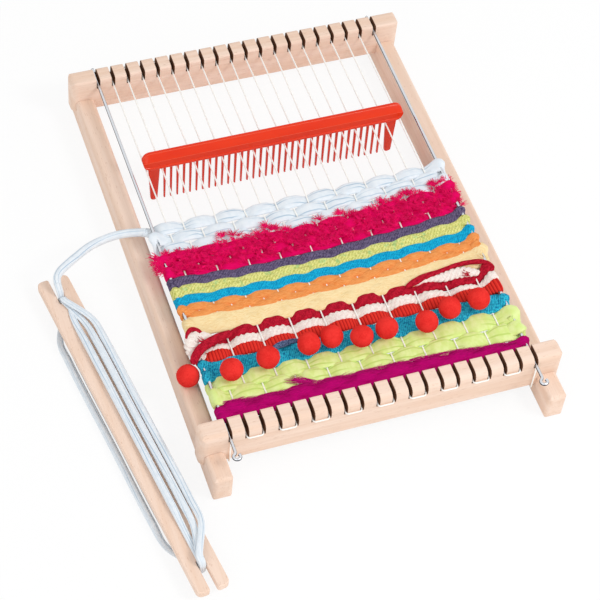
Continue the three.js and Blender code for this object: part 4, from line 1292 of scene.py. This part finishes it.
def make_cords():
    # the braid's darker colour is painted shade between its ribs
    red = ribbed_braid("red_braid", (232, 54, 42), (184, 22, 24), BRAID.ribs)
    white = heather_yarn("white_cord", (255, 248, 240), (236, 214, 206), WHITE_CORD)
    crimson = heather_yarn("crimson_cord", (198, 30, 54), (146, 9, 32), CRIMSON_CORD)
    make_rows(
        "braid", "red_braid", red, BRAID, [laid_line(BRAID_LINE)], EVEN, seed=31,
        nodes=["weft_red_braid"], over_even=False,
    )
    make_rows(
        "white_cord", "crimson_cord", white, WHITE_CORD, [laid_line(WHITE_LINE)], WHITE_WIDTHS, seed=32,
        extras=(WHITE_LOOP, WHITE_RETURN), over_even=False,
    )
    make_rows(
        "crimson_cord", "crimson_cord", crimson, CRIMSON_CORD, [laid_line(CRIMSON_LINE)], CRIMSON_WIDTHS,
        seed=33, nodes=["weft_crimson_twist"], over_even=False,
        extras=(CRIMSON_ARC, CRIMSON_CROSSING, CRIMSON_RETURN, CRIMSON_BENEATH),
    )


NAVY = Yarn(crest=1, dip=1, lines=3, run=6, ridge=0.1)
NAVY_STRANDS = 9
NAVY_WIDTHS = (0.3, 0.6, 0.7, 0.6, 0.3)
NAVY_THICK = 0.5
NAVY_END = ((-54, 52.6, 30.4), (-50, 54.4, 31.6), (-45, 55, 32), (-40, 55.6, 31.6), (-35, 56, 30))


def make_navy_end():
    """The end of a navy yarn, whose strands have come apart."""
    shape = Shape()
    rng = np.random.default_rng(34)
    for i in range(NAVY_STRANDS):
        shift = rng.normal(0, (1.2, 0.75, 0.25))
        route = np.array(NAVY_END) + shift + rng.normal(0, 0.2, (len(NAVY_END), 3))
        strand_through(shape, route, NAVY_WIDTHS, NAVY_THICK, NAVY, 35 + i)
    navy = heather_yarn("navy_yarn", (122, 146, 182), (26, 32, 84), NAVY)
    shape.build("navy_end", navy, "loom")


# Fringe and loose fibres


def hair(shape, rng, root, heading, length, radius, tone, bend=0.5, lift=0.25):
    """A fine, flat strand that lies over the weaving, bends a little and tapers."""
    along = np.linspace(0, 1, 5)
    turned = heading + rng.normal(0, bend) * along
    climb = rng.uniform(0, lift) * (1 - 1.7 * along)
    steps = np.stack([np.cos(turned), np.sin(turned), climb], axis=1) * (length / 4)
    path = root + np.vstack([[0, 0, 0], np.cumsum(steps[:-1], axis=0)])
    across, rise = turning_frame(path, (-math.sin(heading), math.cos(heading), 0))
    radii = radius * np.linspace(1, 0.45, len(path))
    sweep(shape, path, across * radii[:, None], rise * radii[:, None] * 0.6, 3, tone=tone)


FRINGE_TOP = (
    (-99, 136), (-95, 140), (-70, 138), (-62, 139), (-56, 144.5), (-49, 144), (-43, 139.5), (-34, 140.5),
    (-27, 145), (-22, 141.5), (-12, 137.5), (0, 139.5), (6, 141.5), (12, 137), (20, 142.5), (25, 141),
    (34, 139), (44, 142), (50, 145.5), (57, 143.5), (66, 147.5), (76, 145), (84, 149.5), (98, 150.5),
)
FRINGE_PEAKS = (-56, -49, -34, -27, -22, 6, 20, 50, 66, 86, 95)
FRINGE_TUFTS = 640
FRINGE_RADIUS = 0.24
FRINGE_RISE = (1.6, 3.8)  # above the warp
FRINGE_FOOT = 1.2  # the lowest tufts, above the band's lower edge
FRINGE_HEAD = 2.0  # the highest, below the fringe's top
TOP_ZONE = 4.5
EDGE_ZONE = 1.5
PEAK_DROP = 3.4
END_TUFTS = (5, 17, 9)  # from and to, above the band's lower edge, and how many
# Tufts by where they stand: length, spread to either side in radians, and strands
TOP_TUFT = (4.2, 1.2, 11)
EDGE_TUFT = (5, 1.1, 11)
INNER_TUFT = (3.6, 1.4, 11)
PEAK_TUFT = (5.4, 1.5, 26)
LEFT_TUFT = (8.5, 1.0, 18)
RIGHT_TUFT = (4.5, 1.1, 12)
DASH_HALF_WIDTH = 0.75
DASH_REACH = 5.6  # above the band's lower edge


def clear_of_dashes(x, y, bottom):
    """True where no strand may hide the warp thread that shows over the lowest row."""
    off = abs((x - slot_x(1) + SLOT_PITCH) % (2 * SLOT_PITCH) - SLOT_PITCH)
    return off > DASH_HALF_WIDTH or y > bottom + DASH_REACH


def make_fringe(material):
    """Eyelash fringe: tufts of fine strands in all directions over the pink rows."""
    lower = cad_box("weft_pink_fringe")[0][1]
    rng = np.random.default_rng(21)
    top_at = laid_line(FRINGE_TOP)
    shape = Shape()

    def tuft(x, y, z, middle, long, spread, strands):
        tone = rng.uniform(0.2, 1)
        for _ in range(strands):
            heading = middle + rng.uniform(-spread, spread)
            length = rng.uniform(0.6, 1) * long
            root = np.array([x, y, z]) + rng.normal(0, (0.5, 0.5, 0.2))
            bottom = row_line(lower, root[0])
            reached = root[:2] + length * np.array([math.cos(heading), math.sin(heading)])
            spots = [root[:2] + (reached - root[:2]) * share for share in (0, 0.25, 0.5, 0.75, 1)]
            if reached[1] < bottom + 0.2 or not all(clear_of_dashes(*spot, bottom) for spot in spots):
                continue
            shade = np.clip(tone + rng.normal(0, 0.25), 0, 1)
            hair(shape, rng, root, heading, length, FRINGE_RADIUS, shade)

    for _ in range(FRINGE_TUFTS):
        x = rng.uniform(-OUTER_SLOT - 2, OUTER_SLOT + 2)
        top = top_at(x)
        y = rng.uniform(row_line(lower, x) + FRINGE_FOOT, top - FRINGE_HEAD)
        z = WARP_Z + rng.uniform(*FRINGE_RISE)
        if y > top - TOP_ZONE:
            tuft(x, y, z, math.pi / 2, *TOP_TUFT)
        elif abs(x) > OUTER_SLOT - EDGE_ZONE:
            tuft(x, y, z, 0 if x > 0 else math.pi, *EDGE_TUFT)
        else:
            tuft(x, y, z, rng.uniform(0, 2 * math.pi), *INNER_TUFT)
    for x in FRINGE_PEAKS:
        tuft(x, top_at(x) - PEAK_DROP, WARP_Z + 3.4, math.pi / 2, *PEAK_TUFT)
    for y in lower + np.linspace(*END_TUFTS):
        tuft(-OUTER_SLOT - 2, y, WARP_Z + 3, math.pi, *LEFT_TUFT)
        tuft(OUTER_SLOT, y + 2, WARP_Z + 3, 0, *RIGHT_TUFT)
    shape.build("pink_fringe_strands", material, "loom")


MAGENTA_TOP = (
    (-98, 26), (-84, 25.2), (-75, 23.6), (-56, 23.2), (-46, 24.2), (-25, 24.6), (-13, 24),
    (0, 24.4), (30, 24), (52, 23.4), (62, 22), (76, 20.8), (86, 19.2), (98, 18.2),
)
MAGENTA_FIBRES = 900
WISP_FROM = (-38.5, 24.6)
WISP_FIBRES = 90


def make_magenta_fuzz(material):
    """Loose wool along the magenta band's upper edge, and a wisp that stands out of it."""
    rng = np.random.default_rng(22)
    top_at = laid_line(MAGENTA_TOP)
    shape = Shape()
    for _ in range(MAGENTA_FIBRES):
        x = rng.uniform(-OUTER_SLOT + 5, OUTER_SLOT - 3)
        y = top_at(x) - abs(rng.normal(0, 1.1))
        heading = rng.normal(0.03, 0.1) + math.pi * rng.integers(2)
        root = np.array([x, y, WARP_Z + rng.uniform(1.9, 2.8)])
        hair(shape, rng, root, heading, rng.uniform(4, 7), 0.12, rng.uniform(0, 1), 0.16, 0.04)
    for _ in range(WISP_FIBRES):
        root = np.array([*WISP_FROM, WARP_Z + 2.6]) + rng.normal(0, (1.8, 0.5, 0.2))
        heading = rng.normal(math.radians(154), 0.1)
        hair(shape, rng, root, heading, rng.uniform(6, 14), 0.16, rng.uniform(0, 1), 0.12, 0.1)
    shape.build("magenta_loose_wool", material, "loom")


FRAY_HAIRS = 12
CRIMSON_FRAYS = ((-90.5, 66, 36.4, 150), (-94.5, 62, 36.9, 195), (80, 72.6, 33.4, 140))


def make_frays(material):
    """Frayed bits of the crimson cord: where each stands out, and which way."""
    rng = np.random.default_rng(23)
    shape = Shape()
    for *place, degrees in CRIMSON_FRAYS:
        for _ in range(FRAY_HAIRS):
            root = np.array(place) + rng.normal(0, (0.6, 0.6, 0.1))
            heading = math.radians(degrees) + rng.normal(0, 0.35)
            hair(shape, rng, root, heading, rng.uniform(2.5, 5), 0.28, rng.uniform(0, 1), 0.2, 0.1)
    shape.build("crimson_frays", material, "loom")


# Pom-poms

POM_POM_FIBRES = 260
FIBRE_REACH = (0.35, 0.9)
FIBRE_RADII = np.array([0.07, 0.05, 0.03])  # root, middle, tip


def make_pom_pom(number, material):
    """A felt ball, a little uneven, with short fibres standing out all round."""
    node = f"pom_pom_{number:02d}"
    low, high = cad_box(node)
    centre, radius = (low + high) / 2, (high[1] - low[1]) / 2
    rng = np.random.default_rng(number)
    ball = bmesh.new()
    bmesh.ops.create_icosphere(ball, subdivisions=4, radius=1)
    points = np.array([v.co for v in ball.verts])
    faces = [[v.index for v in face.verts] for face in ball.faces]
    ball.free()
    lumps = rng.normal(size=(6, 3)) * 2.2
    swell = np.sin(points @ lumps.T + rng.uniform(0, 2 * math.pi, 6)).sum(axis=1)
    points = points * (1 + 0.008 * swell)[:, None]
    shape = Shape()
    uvs = [(points[i][0], points[i][1]) for face in faces for i in face]
    shape.add(centre + radius * points, faces, uvs)
    for _ in range(POM_POM_FIBRES):
        out = unit(rng.normal(size=3))
        lean = unit(out + 0.7 * rng.normal(size=3))
        root = centre + radius * out * 0.985
        tip = root + lean * rng.uniform(*FIBRE_REACH)
        path = np.stack([root, (root + tip) / 2 + 0.12 * rng.normal(size=3), tip])
        across, rise = turning_frame(path, (0.3, 0.5, 0.8))
        sweep(shape, path, across * FIBRE_RADII[:, None], rise * FIBRE_RADII[:, None], 3)
    shape.build(node + "_felt", material, "loom", [node])


# Shuttle and its yarn


def shuttle_to_weave(points):
    """Points in the shuttle's own frame: near end at the origin, length along Y."""
    x, y, z = np.moveaxis(np.asarray(points, float), -1, 0)
    cos, sin = math.cos(SHUTTLE_TURN), math.sin(SHUTTLE_TURN)
    across = SHUTTLE_FOOT[0] + x * cos - y * sin
    along = SHUTTLE_FOOT[1] + x * sin + y * cos
    return np.stack([across, along, SHUTTLE_HEIGHT + z], axis=-1)


def shuttle_outline():
    half, notch = SHUTTLE_WIDTH / 2, NOTCH_WIDTH / 2
    far, deep = SHUTTLE_LENGTH, NOTCH_DEPTH
    outer, inner, bottom = PRONG_OUTER_ROUND, PRONG_INNER_ROUND, NOTCH_ROUND
    corners = [
        (half, 0, outer),
        (half, far, outer),
        (notch, far, inner),
        (notch, far - deep, bottom),
        (-notch, far - deep, bottom),
        (-notch, far, inner),
        (-half, far, outer),
        (-half, 0, outer),
        (-notch, 0, inner),
        (-notch, deep, bottom),
        (notch, deep, bottom),
        (notch, 0, inner),
    ]
    return rounded_outline([corner[:2] for corner in corners], [corner[2] for corner in corners], 7)


def make_shuttle(material):
    """The stick, with its edges rounded over."""
    outline = shuttle_outline()
    ahead = unit(np.roll(outline, -1, axis=0) - np.roll(outline, 1, axis=0))
    inward = np.stack([-ahead[:, 1], ahead[:, 0]], axis=1)
    turns = np.linspace(0, math.pi / 2, 4)
    edge = SHUTTLE_EDGE * (1 - np.stack([np.sin(turns), np.cos(turns)], axis=1))
    levels = [*edge, *((inset, SHUTTLE_THICK - z) for inset, z in edge[::-1])]
    points = [(x, y, z) for inset, z in levels for x, y in outline + inward * inset]
    faces = ring_faces(len(levels), len(outline))
    shape = Shape()
    uvs = [points[i][:2] for face in faces for i in face]
    shape.add(shuttle_to_weave(points), faces, uvs)
    stick = shape.build("shuttle_stick", material, "shuttle_body", ["shuttle"])
    stick.modifiers.new("even shading", "WEIGHTED_NORMAL")


def through_notch(notch, outward, level, upward):
    """The way through a notch, outside the turns that already lie there."""
    radius = PILE_START + level * PILE_STEP
    over = quarter_turn((0, notch, SHUTTLE_THICK), (0, 0, 1), (0, outward, 0), radius, 2)
    middle = np.array([0, notch + outward * radius, SHUTTLE_THICK / 2])
    under = quarter_turn((0, notch, 0), (0, outward, 0), (0, 0, -1), radius, 2)
    route = [(*point, 0.0) for point in [*over, middle, *under]]
    return route[::-1] if upward else route


def along_stick(lane, top, far_level, near_level):
    """A side of a turn from the far notch to the near one: x, y, z and how slack it is."""
    face, up = (SHUTTLE_THICK, 1) if top else (0, -1)
    lying = SHUTTLE_THICK + CLEAR if top else TABLE_GAP - SHUTTLE_HEIGHT
    lying += SLACK_THICK / 2
    spread_lane = FAN_SHARE * lane
    near, far = NOTCH_DEPTH, SHUTTLE_LENGTH - NOTCH_DEPTH
    return [
        (spread_lane, far - FAN_RUN, face + up * (PILE_START + far_level * PILE_STEP), 0.0),
        (lane, far - FAN_RUN - DROP_RUN, lying, 1.0),
        (lane, SHUTTLE_LENGTH / 2, lying, 1.0),
        (lane, near + FAN_RUN + DROP_RUN, lying, 1.0),
        (spread_lane, near + FAN_RUN, face + up * (PILE_START + near_level * PILE_STEP), 0.0),
    ]


OVERLAP = 1.2  # how far the winding's end reaches into the free yarn
START_FROM_NOTCH = 5.0


def winding_stations():
    """The winding's way, from its start on top of the stick to the free yarn."""
    near, far = NOTCH_DEPTH, SHUTTLE_LENGTH - NOTCH_DEPTH
    marks = [(1, far - START_FROM_NOTCH, SHUTTLE_THICK + TIGHT_THICK / 2, 0.0)]
    for turn in range(WIND_LOOPS):
        marks += along_stick(TOP_LANES[turn], True, max(turn - 1, 0), turn)
        marks += through_notch(near, -1, turn, False)
        marks += along_stick(UNDER_LANES[turn], False, turn, turn)[::-1]
        marks += through_notch(far, 1, turn, True)
    marks = marks[:-3]
    rim = far + PILE_START + (WIND_LOOPS - 1) * PILE_STEP
    above = (rim + EXIT_LEAN, SHUTTLE_THICK + EXIT_RISE)
    marks.append((0, rim, SHUTTLE_THICK, 0.0))
    marks.append((0, *above, 0.5))
    reach = EXIT_REACH + OVERLAP
    marks.append((0, above[0] + reach, above[1] + reach, 1.0))
    return np.array(marks)


START_ROUND = 14.0
CURLED = Yarn(crest=1, dip=1, folds=(62, 118, 246, 294), fold_depth=0.1, sides=56)


def curled_profile(path, places, seed):
    """The section of curled tape along a path, and its folds."""
    rng = np.random.default_rng(seed)
    folds = fold_depths(rng, lengths_along(path), angles_round(CURLED.sides), places, LOOSE_TAPE)
    # the folds also serve as tone, which the tape paints as crease shade
    return 1 - CURLED.fold_depth * folds, folds


def make_winding(material):
    path = smooth_path(winding_stations(), 1.2)
    slack = np.clip(path[:, 3], 0, 1)
    centre = shuttle_to_weave(path[:, :3])
    ahead = directions(centre)
    side = np.array([math.cos(SHUTTLE_TURN), math.sin(SHUTTLE_TURN), 0])
    across = unit(side - ahead * (ahead @ side)[:, None])
    rise = np.cross(ahead, across)
    begun = np.clip(lengths_along(centre) / START_ROUND, 0.02, 1)
    rounded = np.sqrt(1 - (1 - begun) ** 2)
    width = (TIGHT_WIDTH + (SLACK_WIDTH - TIGHT_WIDTH) * slack) / 2 * rounded
    thick = (TIGHT_THICK + (SLACK_THICK - TIGHT_THICK) * slack) / 2 * rounded
    centre[:, 2] = np.maximum(centre[:, 2], thick + TABLE_GAP)
    profile, folds = curled_profile(centre, CURLED.folds, 5)
    shape = Shape()
    sweep(shape, centre, across * width[:, None], rise * thick[:, None], CURLED.sides, profile, folds)
    shape.build("shuttle_winding_yarn", material, "shuttle_body", ["shuttle_winding"])


FREE_YARN_FOLDS = (62, 104)
CORD_STEP = 2.2
OPENING_RUN = 8.0  # where it leaves the winding it is as narrow as that


def make_free_yarn(material):
    """The yarn from the shuttle's notch, over the left rail and into the newest row."""
    path = smooth_path(FREE_YARN_ROUTE, 1.0)
    across, rise = turning_frame(path, np.cross((0, 0, 1), directions(path)[3]), level=True)
    opened = np.clip(lengths_along(path) / OPENING_RUN, 0, 1)
    width = (SLACK_WIDTH + (FREE_YARN - SLACK_WIDTH) * opened) / 2
    thick = (SLACK_THICK + (FREE_YARN - SLACK_THICK) * opened) / 2
    profile, folds = curled_profile(path, FREE_YARN_FOLDS, 9)
    shape = Shape()
    sweep(shape, path, across * width[:, None], rise * thick[:, None], CURLED.sides, profile, folds)
    yarn = shape.build("free_yarn_tape", material, None, ["free_yarn"])
    route = to_frame(smooth_path(FREE_YARN_ROUTE, CORD_STEP))
    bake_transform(yarn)


# Floor and lights

FLOOR_REACH = 3.0  # metres
FLOOR_GLOW = 0.86
WORLD_LIGHT = 0.72
KEY_WATTS = 9.5
FILL_WATTS = 4
KEY_AT = (0.85, -0.75, 1.25)
FILL_AT = (-0.9, -0.9, 0.9)
LIT_SPOT = (0.03, 0.03, 0.03)


def seen_directly(nodes):
    """1 for rays that the camera sees, also in metal or through glass, and 0 for others."""
    rays = nodes.add("ShaderNodeLightPath").outputs
    seen = nodes.math("MAXIMUM", rays["Is Camera Ray"], rays["Is Glossy Ray"])
    return nodes.math("MAXIMUM", seen, rays["Is Transmission Ray"])


def make_floor():
    mesh = bpy.data.meshes.new("floor")
    ends = (-FLOOR_REACH, FLOOR_REACH)
    mesh.from_pydata([(x, y, 0) for x in ends for y in ends], [], [(0, 2, 3, 1)])
    floor = bpy.data.objects.new("floor", mesh)
    bpy.context.scene.collection.objects.link(floor)
    nodes = Nodes("floor")
    nodes.set(Base_Color=linear((250, 250, 250)), Roughness=0.8, Specular_IOR_Level=0.1)
    mix = nodes.add("ShaderNodeMixShader")
    nodes.join(nodes.part(seen_directly(nodes), FLOOR_GLOW), mix.inputs[0])
    nodes.join(nodes.shader.outputs[0], mix.inputs[1])
    nodes.join(nodes.add("ShaderNodeEmission").outputs[0], mix.inputs[2])
    nodes.join(mix.outputs[0], nodes.tree.nodes["Material Output"].inputs["Surface"])
    mesh.materials.append(nodes.owner)


def make_world():
    nodes = Nodes("studio", "worlds")
    bpy.context.scene.world = nodes.owner
    soft = nodes.tree.nodes["Background"]
    soft.inputs["Strength"].default_value = WORLD_LIGHT
    white = nodes.add("ShaderNodeBackground")
    mix = nodes.add("ShaderNodeMixShader")
    nodes.join(seen_directly(nodes), mix.inputs[0])
    for light, socket in ((soft, mix.inputs[1]), (white, mix.inputs[2])):
        light.inputs["Color"].default_value = (1, 1, 1, 1)
        nodes.join(light.outputs[0], socket)
    nodes.join(mix.outputs[0], nodes.tree.nodes["World Output"].inputs["Surface"])


def area_lamp(name, place, size, watts):
    data = bpy.data.lights.new(name, "AREA")
    data.size = size
    data.energy = watts
    lamp = bpy.data.objects.new(name, data)
    lamp.location = place
    lamp.rotation_mode = "QUATERNION"
    lamp.rotation_quaternion = (Vector(LIT_SPOT) - Vector(place)).to_track_quat("-Z", "Y")
    bpy.context.scene.collection.objects.link(lamp)


def make_lights():
    area_lamp("key", KEY_AT, 0.5, KEY_WATTS)
    area_lamp("fill", FILL_AT, 1.2, FILL_WATTS)


# Everything together

make_camera()
# the third colour is painted shade for the creases
tape = folded_tape("light_blue_tape", (234, 240, 245), (223, 232, 240), (174, 196, 214))
make_free_yarn(tape)
make_winding(tape)

make_floor()
make_world()
make_lights()

wood_x = beech("beech_along_x", "X")
wood_y = beech("beech_along_y", "Y")
wire = wire_with_painted_light("steel_wire")
dress_frame(wood_x, wood_y, saw_cut_with_painted_shade("saw_cut_with_painted_shade"), steel("screw_steel", roughness=0.3))
make_rod(-1, "left_rod_body", "edge_rod_left", wire)
make_rod(1, "right_rod_body", "edge_rod_right", wire)
make_warp(thread("warp_cotton"))
make_comb(moulded_plastic("comb_plastic"))
make_shuttle(wood_y)

make_bands(tape)
make_cords()
make_navy_end()
make_fringe(loose_fibres("pink_fringe_fibres", (250, 4, 108), (208, 0, 78)))
make_magenta_fuzz(loose_fibres("magenta_fibres", (204, 14, 126), (166, 0, 98)))
make_frays(loose_fibres("crimson_fibres", (204, 30, 56), (164, 12, 38)))
pom_pom_felt = felt("pom_pom_felt", (238, 58, 52), (222, 44, 40))
for number in range(1, POM_POM_COUNT + 1):
    make_pom_pom(number, pom_pom_felt)

bpy.context.scene.view_settings.view_transform = "Standard"
